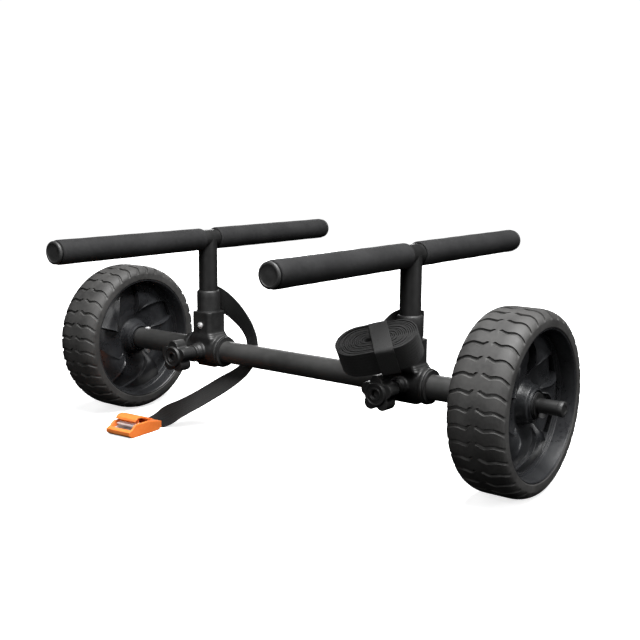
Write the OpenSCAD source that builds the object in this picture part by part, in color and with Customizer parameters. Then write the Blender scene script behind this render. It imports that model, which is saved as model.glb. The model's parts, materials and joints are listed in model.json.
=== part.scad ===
// Two-wheel cart with a pair of padded bunks for carrying a small boat.
// The cross tube lies along X and the bunks along Y. The origin is on the floor,
// midway between the wheels.

/* [Wheels] */
// Outer diameter of a tyre
wheel_d = 254; // [210:1:305]
// Width of a tyre
tyre_w = 82; // [68:1:100]
// Height of the tyre's section, from the rim to the tread
tyre_h = 23; // [18:1:28]
// Radial height of the rounded shoulder
shoulder_h = 14; // [8:1:16]
// Axial width of the rounded shoulder
shoulder_w = 24; // [14:1:30]
// Distance between the middle planes of the two wheels
track = 760; // [630:1:920]
// Length of a wheel's hub
hub_l = 56; // [46:1:64]
// Wall of the rim's barrel
rim_wall = 4.5; // [3:0.5:6]
// Number of curved blades in a rim
blades = 5; // [3:1:9]

/* [Axle] */
// Outer diameter of the cross tube
tube_d = 36; // [30:0.5:44]
// Wall of the cross tube
tube_wall = 2.5; // [2:0.5:4]
// Diameter of an axle stub
stub_d = 20; // [16.5:0.5:24]
// Wall of an axle stub
stub_wall = 2; // [1.5:0.25:2.5]
// Length of a stub that shows outside the hub
stub_out = 40; // [30:1:60]
// Length of a stub inside the cross tube
stub_in = 50; // [40:1:80]
// Thickness of a thrust washer
washer_t = 1.5; // [1:0.5:3]

/* [Snap buttons] */
// Diameter of a snap button
button_d = 9; // [6:0.5:9]
// How far a snap button stands out
button_out = 6.5; // [4:0.5:7]

/* [T-sockets] */
// Distance of the left post from the middle of the cart
left_post_x = 184; // [150:1:220]
// Distance of the right post from the middle of the cart
right_post_x = 210; // [150:1:220]
// Length of a socket's barrel
barrel_l = 72; // [60:1:90]
// Wall of a socket's barrel round its liner
barrel_wall = 4; // [3:0.5:7]
// Wall of the square block round the post's sleeve
block_wall = 3; // [2:0.5:6]
// Corner radius of the block
block_r = 6; // [3:1:10]
// Height of the block's top above the tube's axis
block_top = 65; // [56:1:80]
// Length of the sleeve above the block
sleeve_up = 35; // [20:1:50]
// Wall of the sleeve above the block
sleeve_wall = 3.5; // [2:0.5:3.5]

/* [Knobs] */
// Overall diameter of a star knob
knob_d = 52; // [42:1:64]
// Thickness of a star knob
knob_t = 24; // [16:1:30]
// Distance from the socket's boss to the back of the star
neck_l = 23; // [19:1:40]
// Diameter of the threaded stud
stud_d = 10; // [8:0.5:12]
// Travel of the clamp pad between tight and loose
pad_travel = 4.5; // [2:0.5:4.5]

/* [Bunks] */
// Outer diameter of a post
post_d = 31; // [25.5:0.5:37.5]
// Wall of the posts and the bunk tubes
post_wall = 2; // [1.5:0.25:3]
// Height of the bunk tubes' axes above the floor
bunk_z = 312; // [290:1:360]
// Outer diameter of a bunk tube
bunk_d = 30; // [24:0.5:31]
// Length of a bunk over its end caps
bunk_l = 622; // [500:1:800]
// Thickness of the foam's wall
foam_t = 2.75; // [1.5:0.25:10]
// Gap between a post and the foam beside it
foam_clear = 1.5; // [1:0.5:12]
// Thickness of an end cap's flange
cap_t = 4; // [2:0.5:8]
// How far the foam stops short of an end cap
foam_stop = 2; // [0:0.5:10]

/* [Straps] */
// Width of the webbing
web_w = 38; // [36:1:38]
// Thickness of the webbing
web_t = 1.8; // [1.2:0.1:2]
// Overall length of the rolled strap
roll_l = 120; // [100:1:124]
// Overall depth of the rolled strap
roll_d = 68; // [56:1:70]
// Width of the band around the roll
band_w = 26; // [16:1:30]

/* [Hidden] */
$fn = 64;
eps = 0.01;
fit = 0.08;         // radial gap of a running fit
gap = 0.4;          // gap between parts that slide or turn past each other
wheel_r = wheel_d / 2;
axle_z = wheel_r;
rim_r = wheel_r - tyre_h;
rim_half = tyre_w / 2 - 3;
wheel_x = track / 2;
bush_d = stub_d + 8;
hub_d = bush_d + 14;
bush_l = hub_l / 2 - 6;
bush_flange = 2;
// The cross tube ends at the inner washer, which bears on the hub.
tube_end = wheel_x - hub_l / 2 - bush_flange - gap - washer_t;
hub_out = wheel_x + hub_l / 2 + bush_flange + gap;
stub_end = wheel_x + hub_l / 2 + stub_out;
stub_start = tube_end - stub_in;
bolt_x = tube_end - 16;
bolt_d = 5;
bolt_head_d = 9.5;
button_x = hub_out + washer_t + gap + button_d / 2 + 0.4;
button_lip = 1.2;
button_lip_d = button_d + 2.4;
stub_bore_r = stub_d / 2 - stub_wall;
// The button's lip sits on the stub's round inner wall.
lip_z = axle_z - sqrt(pow(stub_bore_r, 2) - pow(button_lip_d / 2, 2)) + 0.1;
stub_cap_t = 2;

liner_t = 2.2;
liner_r = tube_d / 2 + gap + liner_t;
bore_r = liner_r + gap;
barrel_d = 2 * (bore_r + barrel_wall);
liner_flange_r = barrel_d / 2 - 0.5;
liner_flange_t = 3;
sleeve_in_d = post_d + 3;
sleeve_d = post_d + 2 * sleeve_wall;
block_w = sleeve_in_d + 2 * block_wall;
socket_floor = axle_z + bore_r + 7;
insert_r = stud_d / 2 + 3;
insert_l = 9;
boss_r = insert_r + 4;
pad_r = stud_d / 2 + 1;
pad_t = 4;
insert_start = liner_r + gap + pad_t + pad_travel + 1.5;
boss_end = insert_start + insert_l;
knob_back = boss_end + neck_l;
knob_face = knob_back + knob_t;
knob_hub_r = stud_d / 2 + 6;
knob_hub_end = boss_end + 1;
seat_gap = 0.05;    // gap between the stud's end and the pad
clamp_screw_z = axle_z + 43;
anchor_z = axle_z + block_top + 20;
block_face = block_w / 2;

foam_d = bunk_d + 2 * foam_t;
foam_gap = post_d + 2 * foam_clear;
tube_l = bunk_l - 2 * cap_t;
cap_d = bunk_d + 3;
cap_plug_l = 16;
foam_l = (tube_l - foam_gap) / 2 - foam_stop;
foam_edge = 2.5;

buckle_at = [-57 - left_post_x, -119, 0];
buckle_turn = 4;
buckle_l = 76;
buckle_h = 20.5;
lever_w = web_w - 2;
pin_y = 2;
pin_z = 11;
pin_d = 4;
plate_t = 2;
plate_x = web_w / 2 + 1;
buckle_in = 2 * (plate_x + plate_t);
buckle_w = buckle_in + 7;
hood_w = buckle_in - 0.6;

// Centre line of the left strap, from the anchor to the buckle: x, y, z and the
// direction of the webbing's width.
left_strap_pts = [
    [[-194, 21, 214], [0, 0, 1]],
    [[-184, 21, 212], [0.1, 0, 1]],
    [[-172, 22, 207], [0.3, -0.05, 1]],
    [[-156, 26, 196], [0.45, -0.15, 0.85]],
    [[-141, 30, 182], [0.62, -0.25, 0.72]],
    [[-128, 32, 167], [0.78, -0.3, 0.5]],
    [[-119, 33, 150], [0.9, -0.35, 0.25]],
    [[-115, 31, 133], [0.93, -0.37, 0.05]],
    [[-114, 24, 114], [0.93, -0.4, 0]],
    [[-118, 11, 98], [0.9, -0.42, -0.15]],
    [[-128, -1, 86], [0.82, -0.45, -0.3]],
    [[-143, -12, 74], [0.78, -0.43, -0.42]],
    [[-159, -22, 62], [0.78, -0.43, -0.42]],
    [[-175, -33, 50], [0.8, -0.4, -0.4]],
    [[-191, -44, 39], [0.85, -0.35, -0.35]],
    [[-208, -54, 28], [0.92, -0.2, -0.25]],
    [[-224, -60, 18], [0.97, -0.05, -0.15]],
    [[-236, -65, 12], [1, 0.03, -0.05]],
    [[-242, -71, 9], [1, 0.07, 0]],
    [[-243.5, -78, 8], [1, 0.07, 0]],
    [[-243, -84, 8], [1, 0.07, 0]]
];
// Centre line of the right strap's lead, from the anchor to the roll.
right_lead_pts = [
    [[220, 21, 212], [0, 0, 1]],
    [[210, 21, 212], [0, 0, 1]],
    [[199, 21.5, 212], [0, 0, 1]],
    [[188.5, 17, 212], [0, 0.1, 1]],
    [[186.5, 7, 211.5], [0, 0.15, 1]],
    [[186, -5, 209.5], [0, 0.3, 1]],
    [[186, -17, 205], [0, 0.45, 0.9]],
    [[187, -28, 200], [0, 0.5, 0.87]]
];
// The anchors behind the posts move the ends of both straps.
anchor_y = sleeve_d / 2 + 2;
rise = anchor_z - 212;
function with_post(p, dx) = [for (q = p) let (k = (q[0][2] - 8) / 206)
    [q[0] + [dx, k * (anchor_y - 21), k * rise], q[1]]];
// A thicker cross tube pushes the strap that passes under it outwards.
function clear_of_tube(p) = [for (q = p) let (v = [0, q[0][1], q[0][2] - axle_z], d = norm(v),
    k = max(0, min(1, (100 - d) / 40))) [q[0] + k * (tube_d / 2 - 18) * v / d, q[1]]];
roll_at = [right_post_x - 4, -49 - block_w / 2, axle_z + knob_d / 2 + 34.4 + barrel_d / 2 - 25];
roll_turn = [27, -13, 24];
roll_core = 5;

// A cylinder along X, from x0 to x1.
module x_rod(x0, x1, r) {
    translate([x0, 0, 0]) rotate([0, 90, 0]) cylinder(r = r, h = x1 - x0);
}

// A cylinder along Y, from y0 to y1.
module y_rod(y0, y1, r) {
    translate([0, y1, 0]) rotate([90, 0, 0]) cylinder(r = r, h = y1 - y0);
}

// A ring along X, from x0 to x1.
module x_ring(x0, x1, r_out, r_in) {
    difference() {
        x_rod(x0, x1, r_out);
        x_rod(x0 - 1, x1 + 1, r_in);
    }
}

// A square with round corners.
module round_square(w, d, r) {
    square([w - 2 * r, d], center = true);
    square([w, d - 2 * r], center = true);
    for (x = [-1, 1], y = [-1, 1])
        translate([x * (w / 2 - r), y * (d / 2 - r)]) circle(r = r);
}

// A bar with round ends: length l, depth d.
module stadium(l, d) {
    square([l - d, d], center = true);
    for (x = [-1, 1]) translate([x * (l - d) / 2, 0]) circle(d = d);
}

// Places children on the right side, and mirrored on the left.
module both_sides() {
    children();
    mirror([1, 0, 0]) children();
}

// ---------------------------------------------------------------- axle

module cross_tube() {
    color("#2b2b2d") translate([0, 0, axle_z]) difference() {
        x_ring(-tube_end, tube_end, tube_d / 2, tube_d / 2 - tube_wall);
        for (s = [-1, 1]) translate([s * bolt_x, 0, 0])
            cylinder(d = bolt_d + 0.2, h = tube_d + 4, center = true);
    }
}

module axle_plug() {
    color("#202022") translate([0, 0, axle_z]) difference() {
        x_ring(stub_start, tube_end, tube_d / 2 - tube_wall, stub_d / 2);
        translate([bolt_x, 0, 0]) cylinder(d = bolt_d + 0.2, h = tube_d, center = true);
    }
}

module right_axle_plug() { axle_plug(); }
module left_axle_plug() { mirror([1, 0, 0]) axle_plug(); }

module axle_stub() {
    color("#2b2b2d") translate([0, 0, axle_z]) difference() {
        x_ring(stub_start, stub_end - stub_cap_t, stub_d / 2, stub_bore_r);
        translate([bolt_x, 0, 0]) cylinder(d = bolt_d + 0.2, h = tube_d, center = true);
        translate([button_x, 0, -stub_d]) cylinder(d = button_d + 2 * gap, h = stub_d);
    }
}

module right_axle_stub() { axle_stub(); }
module left_axle_stub() { mirror([1, 0, 0]) axle_stub(); }

module axle_bolts() {
    color("silver") both_sides() translate([bolt_x, 0, axle_z]) {
        translate([0, 0, -tube_d / 2 - 7]) cylinder(d = bolt_d, h = tube_d + 8);
        // The domed head rests on the tube.
        translate([0, 0, tube_d / 2]) difference() {
            union() {
                cylinder(d = bolt_head_d, h = 1.5);
                intersection() {
                    translate([0, 0, -2.5]) sphere(r = 5.7);
                    cylinder(d = bolt_head_d, h = 6);
                }
            }
            translate([0, 0, 1.6]) cylinder(d = 3.4, h = 6, $fn = 6);
        }
    }
}

module axle_nuts() {
    color("silver") both_sides() translate([bolt_x, 0, axle_z - tube_d / 2 - 5]) difference() {
        cylinder(d = 9.2, h = 5, $fn = 6);
        translate([0, 0, -1]) cylinder(d = bolt_d, h = 7);
    }
}

module axle_washers() {
    color("silver") both_sides() translate([0, 0, axle_z]) {
        x_ring(tube_end, tube_end + washer_t, tube_d / 2 - 1, stub_d / 2);
        x_ring(hub_out, hub_out + washer_t, stub_d / 2 + 6, stub_d / 2);
    }
}

module stub_caps() {
    color("#1c1c1e") both_sides() translate([0, 0, axle_z]) {
        x_rod(stub_end - 14, stub_end - stub_cap_t + eps, stub_bore_r);
        x_rod(stub_end - stub_cap_t, stub_end - 0.8, stub_d / 2);
        translate([stub_end - 0.8, 0, 0]) rotate([0, 90, 0])
            cylinder(r1 = stub_d / 2, r2 = stub_d / 2 - 0.8, h = 0.8);
    }
}

module button_spring() {
    top = axle_z + sqrt(pow(stub_bore_r, 2) - 9) - 0.1;
    color("silver") translate([button_x, 0, lip_z + button_lip]) difference() {
        cylinder(r = 3, h = top - lip_z - button_lip);
        translate([0, 0, -1]) cylinder(r = 2.2, h = top);
    }
}

module right_button_spring() { button_spring(); }
module left_button_spring() { mirror([1, 0, 0]) button_spring(); }

module snap_button() {
    low = axle_z - stub_d / 2 - button_out;
    color("silver") translate([button_x, 0, 0]) {
        translate([0, 0, lip_z]) cylinder(d = button_lip_d, h = button_lip);
        translate([0, 0, low + 2]) cylinder(d = button_d, h = lip_z - low - 2 + eps);
        // The round nose of the button.
        intersection() {
            translate([0, 0, low]) cylinder(d = button_d, h = 2 + eps);
            translate([0, 0, low + 6]) sphere(r = 6);
        }
    }
}

module right_snap_button() { snap_button(); }
module left_snap_button() { mirror([1, 0, 0]) snap_button(); }

// ---------------------------------------------------------------- wheels

// The tyre's half section: radius, and distance from the middle plane.
function shoulder() = [for (a = [0 : 9 : 90])
    [wheel_r - shoulder_h + shoulder_h * sin(a), tyre_w / 2 - shoulder_w + shoulder_w * cos(a)]];

module tyre() {
    half = shoulder();
    n = len(half);
    section = concat(
        [[rim_r, tyre_w / 2]], half,
        [for (i = [n - 1 : -1 : 0]) [half[i][0], -half[i][1]]],
        [[rim_r, -tyre_w / 2]]);
    color("#232325") translate([wheel_x, 0, axle_z]) rotate([0, 90, 0])
        rotate_extrude($fn = 96) polygon(section);
}

module right_tyre() { tyre(); }
module left_tyre() { translate([-2 * wheel_x, 0, 0]) tyre(); }

// One blade of the rim: a curved bar that sweeps from the hub to the barrel.
module blade() {
    inner = hub_d / 2 - 2;
    outer = rim_r - rim_wall + 1;
    sweep = 45;
    steps = 8;
    edge = [for (i = [0 : steps]) let (u = i / steps, r = inner + u * (outer - inner), a = -sweep * u)
        [r * cos(a), r * sin(a)]];
    back = [for (i = [steps : -1 : 0]) let (u = i / steps, r = inner + u * (outer - inner), a = -sweep * u + 9 + 5 * (1 - u))
        [r * cos(a), r * sin(a)]];
    linear_extrude(height = 2 * rim_half - 34, center = true) polygon(concat(edge, back));
}

module rim() {
    color("#1b1b1d") translate([wheel_x, 0, axle_z]) {
        difference() {
            union() {
                x_ring(-rim_half, rim_half, rim_r, rim_r - rim_wall);
                x_ring(-rim_half + 16, rim_half - 16, rim_r - 1, rim_r - rim_wall - 7);
                x_rod(-8, 8, rim_r - 1);
                x_rod(-hub_l / 2 + 8, hub_l / 2 - 8, hub_d / 2 + 5);
                x_rod(-hub_l / 2, hub_l / 2, hub_d / 2);
                for (i = [0 : blades - 1]) rotate([27 + i * 360 / blades, 0, 0]) rotate([0, 90, 0]) blade();
            }
            x_rod(-hub_l, hub_l, bush_d / 2);
        }
    }
}

module right_rim() { rim(); }
module left_rim() { translate([-2 * wheel_x, 0, 0]) rim(); }

// Two flanged bushes, pressed into the ends of the hub.
module bushes() {
    color("#1a1a1c") translate([wheel_x, 0, axle_z]) for (s = [0, 1]) mirror([s, 0, 0]) {
        x_ring(hub_l / 2 - bush_l, hub_l / 2, bush_d / 2, stub_d / 2 + fit);
        x_ring(hub_l / 2, hub_l / 2 + bush_flange, bush_d / 2 + 3, stub_d / 2 + fit);
    }
}

module right_bushes() { bushes(); }
module left_bushes() { translate([-2 * wheel_x, 0, 0]) bushes(); }

// ---------------------------------------------------------------- bunk stands

// The liner slides on the cross tube, and the socket turns on it.
module liner() {
    half = barrel_l / 2;
    color("#141416") translate([0, 0, axle_z]) {
        x_ring(-half - gap, half + gap, liner_r, tube_d / 2 + gap);
        for (s = [0, 1]) mirror([s, 0, 0])
            x_ring(half + gap, half + gap + liner_flange_t, liner_flange_r, tube_d / 2 + gap);
    }
}

module t_socket() {
    half = barrel_l / 2;
    color("#262628") difference() {
        union() {
            translate([0, 0, axle_z]) {
                x_rod(-half, half, barrel_d / 2);
                // Two low rings strengthen the ends of the barrel.
                for (s = [0, 1]) mirror([s, 0, 0]) x_rod(half - 5, half, barrel_d / 2 + 1.2);
                y_rod(-boss_end, 0, boss_r);
                y_rod(-boss_end + 8, 0, boss_r + 2);
            }
            // A pad below the barrel.
            translate([0, 6, axle_z - barrel_d / 2 + 4])
                cube([barrel_l * 0.55, 26, 14], center = true);
            translate([0, 0, axle_z]) linear_extrude(height = block_top)
                round_square(block_w, block_w, block_r);
            // The foot of the block spreads over the barrel.
            translate([0, 0, axle_z]) linear_extrude(height = barrel_d / 2 + 4)
                round_square(block_w + 4, block_w + 1.5, block_r);
            translate([0, 0, axle_z]) linear_extrude(height = barrel_d / 2 + 1)
                round_square(block_w + 8, block_w + 3, block_r);
            translate([0, 0, axle_z]) linear_extrude(height = barrel_d / 2 - 2)
                round_square(block_w + 13, block_w + 4, block_r);
        }
        translate([0, 0, axle_z]) {
            x_rod(-half - 1, half + 1, bore_r);
            y_rod(-boss_end - 1, 0, pad_r + gap);
            y_rod(-boss_end - 1, -insert_start, insert_r);
        }
        translate([0, 0, socket_floor]) cylinder(d = sleeve_in_d, h = block_top + axle_z);
        translate([0, 0, clamp_screw_z]) y_rod(-block_w, block_w, 3.1);
    }
}

module insert() {
    color("#c9a24a") translate([0, 0, axle_z]) difference() {
        y_rod(-boss_end, -insert_start, insert_r);
        y_rod(-boss_end - 1, 1, stud_d / 2 + gap);
    }
}

module sleeve() {
    top = axle_z + block_top;
    color("#1d1d1f") difference() {
        union() {
            translate([0, 0, socket_floor]) cylinder(d = sleeve_in_d, h = top - socket_floor + 1);
            translate([0, 0, top]) cylinder(d = sleeve_d, h = sleeve_up);
        }
        translate([0, 0, socket_floor - 1]) cylinder(d = post_d, h = block_top + sleeve_up + 9);
        translate([0, 0, clamp_screw_z]) y_rod(-block_w, block_w, 3.1);
        translate([0, 0, anchor_z]) y_rod(0, block_w, 2.6);
    }
}

module post() {
    color("#2d2d2f") difference() {
        translate([0, 0, socket_floor]) cylinder(d = post_d, h = bunk_z - socket_floor);
        translate([0, 0, socket_floor - 1]) cylinder(d = post_d - 2 * post_wall, h = bunk_z);
        translate([0, 0, bunk_z]) y_rod(-block_w, block_w, bunk_d / 2);
        translate([0, 0, clamp_screw_z]) y_rod(-block_w, block_w, 3.1);
        translate([0, 0, anchor_z]) y_rod(0, block_w, 2.6);
    }
}

module bunk_tube() {
    color("#2d2d2f") translate([0, 0, bunk_z]) difference() {
        y_rod(-tube_l / 2, tube_l / 2, bunk_d / 2);
        y_rod(-tube_l, tube_l, bunk_d / 2 - post_wall);
    }
}

// One foam sleeve, with rounded ends, towards -Y.
module foam() {
    r0 = bunk_d / 2;
    r1 = foam_d / 2;
    e = min(foam_edge, (r1 - r0) * 0.9);
    color("#303032") translate([0, -foam_gap / 2, bunk_z]) rotate([90, 0, 0]) rotate_extrude()
        intersection() {
            translate([r0, 0]) square([r1 - r0, foam_l]);
            union() {
                translate([r0 - e, 0]) square([r1 - r0, foam_l]);
                translate([r0, e]) square([r1 - r0, foam_l - 2 * e]);
                for (y = [e, foam_l - e]) translate([r1 - e, y]) circle(r = e, $fn = 24);
            }
        }
}

module end_caps() {
    color("#18181a") translate([0, 0, bunk_z]) for (s = [0, 1]) mirror([0, s, 0]) {
        y_rod(tube_l / 2, tube_l / 2 + cap_t - 1, cap_d / 2);
        y_rod(tube_l / 2, tube_l / 2 + cap_t, cap_d / 2 - 1.5);
        y_rod(tube_l / 2 - cap_plug_l, tube_l / 2 + 1, bunk_d / 2 - post_wall);
    }
}

// The screw goes through socket, sleeve and post, from front to back.
module post_screw() {
    color("silver") translate([0, 0, clamp_screw_z]) {
        y_rod(-block_face, block_face + 4, 3);
        difference() {
            union() {
                y_rod(-block_face - 1.2, -block_face, 5.4);
                intersection() {
                    y_rod(-block_face - 3.4, -block_face, 5.4);
                    translate([0, -block_face + 3.4, 0]) sphere(r = 6.6);
                }
            }
            translate([0, -block_face - 1.4, 0]) rotate([90, 0, 0]) cylinder(d = 4.2, h = 4, $fn = 6);
        }
        translate([0, block_face + 4, 0]) rotate([90, 0, 0]) cylinder(d = 11, h = 4 - eps, $fn = 6);
    }
}

// The screw and its cup washer hold the strap's end behind the post.
module anchor_screw() {
    r = sleeve_d / 2 + 2 + web_t / 2;
    color("silver") translate([0, 0, anchor_z]) {
        y_rod(post_d / 2 - post_wall - 3, r + 1.5, 2.5);
        y_rod(r, r + 1.5, 7);
        y_rod(r + 1.5, r + 3.5, 4.2);
    }
}

module clamp_pad() {
    color("#c9a24a") translate([0, 0, axle_z]) y_rod(-liner_r - gap - pad_t, -liner_r - gap, pad_r);
}

module stud() {
    color("silver") translate([0, 0, axle_z])
        y_rod(-knob_back - 4, -liner_r - gap - pad_t - seat_gap, stud_d / 2);
}

module knob() {
    lobe_r = 0.19 * knob_d;
    lobe_at = knob_d / 2 - lobe_r;
    color("#1f1f21") translate([0, 0, axle_z]) rotate([90, 0, 0]) difference() {
        union() {
            translate([0, 0, knob_back]) linear_extrude(height = knob_t - 3) {
                circle(r = lobe_at + 3.4);
                for (i = [0 : 4]) rotate(18 + 72 * i) translate([lobe_at, 0]) circle(r = lobe_r);
            }
            translate([0, 0, knob_back]) cylinder(r = 14, h = knob_t);
            translate([0, 0, knob_hub_end]) cylinder(r = knob_hub_r, h = knob_back - knob_hub_end + 1);
            // The star's back runs into its hub.
            translate([0, 0, knob_back - 8])
                cylinder(r1 = knob_hub_r + 0.5, r2 = lobe_at, h = 8);
        }
        translate([0, 0, knob_hub_end - 1]) cylinder(d = stud_d, h = knob_back - knob_hub_end + 5);
        translate([0, 0, knob_face - 9]) cylinder(d = 11, h = 12);
    }
}

// ---------------------------------------------------------------- straps

function unit(v) = v / norm(v);

// The direction of the path at point i.
function along(p, i) = unit(p[min(i + 1, len(p) - 1)][0] - p[max(i - 1, 0)][0]);

// The eight corners of the webbing's section at point i.
function web_ring(p, i) =
    let (c = p[i][0], t = along(p, i), w0 = p[i][1], w = unit(w0 - (w0 * t) * t), n = cross(t, w),
         a = web_w / 2, b = web_t / 2, e = web_t / 2)
    [for (k = [[-a, -b + e / 2], [-a + e, -b], [a - e, -b], [a, -b + e / 2],
               [a, b - e / 2], [a - e, b], [-a + e, b], [-a, b - e / 2]])
        c + k[0] * w + k[1] * n];

// A strip of webbing swept along its points.
module webbing(p) {
    n = len(p);
    rings = [for (i = [0 : n - 1]) each web_ring(p, i)];
    sides = [for (i = [0 : n - 2], k = [0 : 7])
        [i * 8 + k, i * 8 + (k + 1) % 8, (i + 1) * 8 + (k + 1) % 8, (i + 1) * 8 + k]];
    tri = [for (s = sides) each [[s[0], s[1], s[2]], [s[0], s[2], s[3]]]];
    ends = [for (k = [1 : 6]) each [[0, k + 1, k], [(n - 1) * 8, (n - 1) * 8 + k, (n - 1) * 8 + k + 1]]];
    polyhedron(rings, concat([for (f = concat(tri, ends)) [f[0], f[2], f[1]]]));
}

module left_strap() { color("#19191b") webbing(clear_of_tube(with_post(left_strap_pts, 184 - left_post_x))); }

module right_strap_lead() { color("#19191b") webbing(with_post(right_lead_pts, right_post_x - 210)); }

module place_roll() {
    translate(roll_at) rotate(roll_turn) children();
}

module right_strap_roll() {
    color("#222224") place_roll() difference() {
        linear_extrude(height = web_w, center = true) stadium(roll_l, roll_d);
        linear_extrude(height = web_w + 2, center = true) stadium(roll_l - roll_d + roll_core, roll_core);
    }
}

// The band's outline over the roll. It leans along the roll's straight sides.
module leaning(w, h) {
    k = 0.2;
    translate([6, 0]) polygon([[-w / 2 + k * h, -h], [w / 2 + k * h, -h],
        [w / 2 - k * h, h], [-w / 2 - k * h, h]]);
}

module right_roll_band() {
    t = 1.4;
    color("#1c1c1e") place_roll() difference() {
        linear_extrude(height = web_w + 2 * t, center = true) leaning(band_w, roll_d / 2 + t);
        linear_extrude(height = web_w, center = true) leaning(band_w + 2, roll_d / 2);
    }
}

module place_buckle() {
    translate(buckle_at) rotate([0, 0, buckle_turn]) children();
}

module left_buckle_boot() {
    l = buckle_l / 2;
    color("#f08020") place_buckle() difference() {
        // The side of the boot: low at the nose, full height over the pin.
        translate([-buckle_w / 2, 0, 0]) rotate([90, 0, 90]) linear_extrude(height = buckle_w)
            polygon([[-l, 5], [-l + 7, 0], [l - 8, 0], [l, 4], [l, 14], [8, buckle_h],
                     [-22, buckle_h], [-30, 14], [-l, 11]]);
        // The room for the frame, with a window over the cam and its lever.
        translate([-buckle_in / 2, 0, 0]) rotate([90, 0, 90]) linear_extrude(height = buckle_in)
            polygon([[-l + 7, 1.6], [l - 7, 1.6], [l - 7, 10], [12, 13.5], [12, 30], [-l + 7, 30]]);
        translate([0, l, 8]) cube([web_w + 2.4, 20, 4.6], center = true);
    }
}

module left_buckle_frame() {
    l = buckle_l / 2 - 7;
    color("silver") place_buckle() {
        difference() {
            union() {
                for (s = [0, 1]) mirror([s, 0, 0]) translate([plate_x, 0, 0]) rotate([90, 0, 90])
                    linear_extrude(height = plate_t)
                        polygon([[-l, 1.6], [l, 1.6], [l, 10], [12, 13.5], [-8, 13.5], [-l, 7]]);
                translate([0, 0, 2.35]) cube([2 * plate_x + 1, 2 * l, 1.5], center = true);
            }
            translate([0, pin_y, pin_z]) rotate([0, 90, 0])
                cylinder(d = pin_d, h = buckle_w, center = true);
        }
        translate([0, l - 4, 7.6]) rotate([0, 90, 0]) cylinder(d = 4, h = 2 * plate_x + 1, center = true);
    }
}

module left_cam_pin() {
    color("silver") place_buckle() translate([0, pin_y, pin_z]) rotate([0, 90, 0])
        cylinder(d = pin_d, h = 2 * (plate_x + plate_t), center = true);
}

// The cam turns on the pin. Its lever is pressed down to free the webbing.
module left_buckle_cam() {
    color("silver") place_buckle() difference() {
        translate([0, pin_y, pin_z]) {
            rotate([0, 90, 0]) cylinder(r = 5.5, h = web_w - 1, center = true);
            translate([-(web_w - 1) / 2, 0, 0]) rotate([90, 0, 90]) linear_extrude(height = web_w - 1)
                polygon([[3, 4], [-8, 8], [-22, 6.5], [-22, 4.5], [-8, 5.5], [-4, -3]]);
        }
        translate([0, pin_y, pin_z]) rotate([0, 90, 0])
            cylinder(d = pin_d + 2 * fit, h = web_w + 4, center = true);
    }
}

// The hood that is pressed, and the foot that joins it to the cam.
module left_buckle_lever() {
    color("#f08020") place_buckle() translate([0, pin_y, pin_z]) {
        translate([-hood_w / 2, 0, 0]) rotate([90, 0, 90]) linear_extrude(height = hood_w)
            polygon([[20, 9.6], [12, 13], [2, 17], [-8, 19.5], [-15, 19.2], [-20, 16.5], [-22, 13],
                     [-19.8, 12.4], [-18, 14.6], [-14, 16.2], [-8, 16.3], [1, 13.8], [8, 10.5], [8, 9.6]]);
        translate([-lever_w / 2, 0, 0]) rotate([90, 0, 90]) linear_extrude(height = lever_w)
            polygon([[-14, 7.36], [-8, 8.01], [-8, 16.5], [-14, 16.5]]);
    }
}

// ---------------------------------------------------------------- left and right stands

module at_left() { translate([-left_post_x, 0, 0]) children(); }
module at_right() { translate([right_post_x, 0, 0]) children(); }
module rearward() { mirror([0, 1, 0]) children(); }

module left_liner() { at_left() liner(); }
module left_t_socket() { at_left() t_socket(); }
module left_insert() { at_left() insert(); }
module left_sleeve() { at_left() sleeve(); }
module left_post() { at_left() post(); }
module left_bunk_tube() { at_left() bunk_tube(); }
module left_foam_front() { at_left() foam(); }
module left_foam_rear() { at_left() rearward() foam(); }
module left_end_caps() { at_left() end_caps(); }
module left_post_screw() { at_left() post_screw(); }
module left_anchor_screw() { at_left() anchor_screw(); }
module left_clamp_pad() { at_left() clamp_pad(); }
module left_stud() { at_left() stud(); }
module left_knob() { at_left() knob(); }

module right_liner() { at_right() liner(); }
module right_t_socket() { at_right() t_socket(); }
module right_insert() { at_right() insert(); }
module right_sleeve() { at_right() sleeve(); }
module right_post() { at_right() post(); }
module right_bunk_tube() { at_right() bunk_tube(); }
module right_foam_front() { at_right() foam(); }
module right_foam_rear() { at_right() rearward() foam(); }
module right_end_caps() { at_right() end_caps(); }
module right_post_screw() { at_right() post_screw(); }
module right_anchor_screw() { at_right() anchor_screw(); }
module right_clamp_pad() { at_right() clamp_pad(); }
module right_stud() { at_right() stud(); }
module right_knob() { at_right() knob(); }

cross_tube();
left_axle_plug();
right_axle_plug();
left_axle_stub();
right_axle_stub();
axle_bolts();
axle_nuts();
axle_washers();
stub_caps();
left_button_spring();
right_button_spring();
left_snap_button();
right_snap_button();
left_tyre();
left_rim();
left_bushes();
right_tyre();
right_rim();
right_bushes();
left_liner();
left_t_socket();
left_insert();
left_sleeve();
left_post();
left_bunk_tube();
left_foam_front();
left_foam_rear();
left_end_caps();
left_post_screw();
left_anchor_screw();
left_clamp_pad();
left_stud();
left_knob();
left_strap();
left_buckle_boot();
left_buckle_frame();
left_cam_pin();
left_buckle_cam();
left_buckle_lever();
right_liner();
right_t_socket();
right_insert();
right_sleeve();
right_post();
right_bunk_tube();
right_foam_front();
right_foam_rear();
right_end_caps();
right_post_screw();
right_anchor_screw();
right_clamp_pad();
right_stud();
right_knob();
right_strap_lead();
right_strap_roll();
right_roll_band();
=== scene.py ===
"""Looks of a two-wheel bunk cart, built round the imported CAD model.

The cross tube lies along X, the bunks along Y, and the floor is at Z = 0.
Sizes are given in millimetres and turned into metres where a mesh is made.
"""

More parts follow.
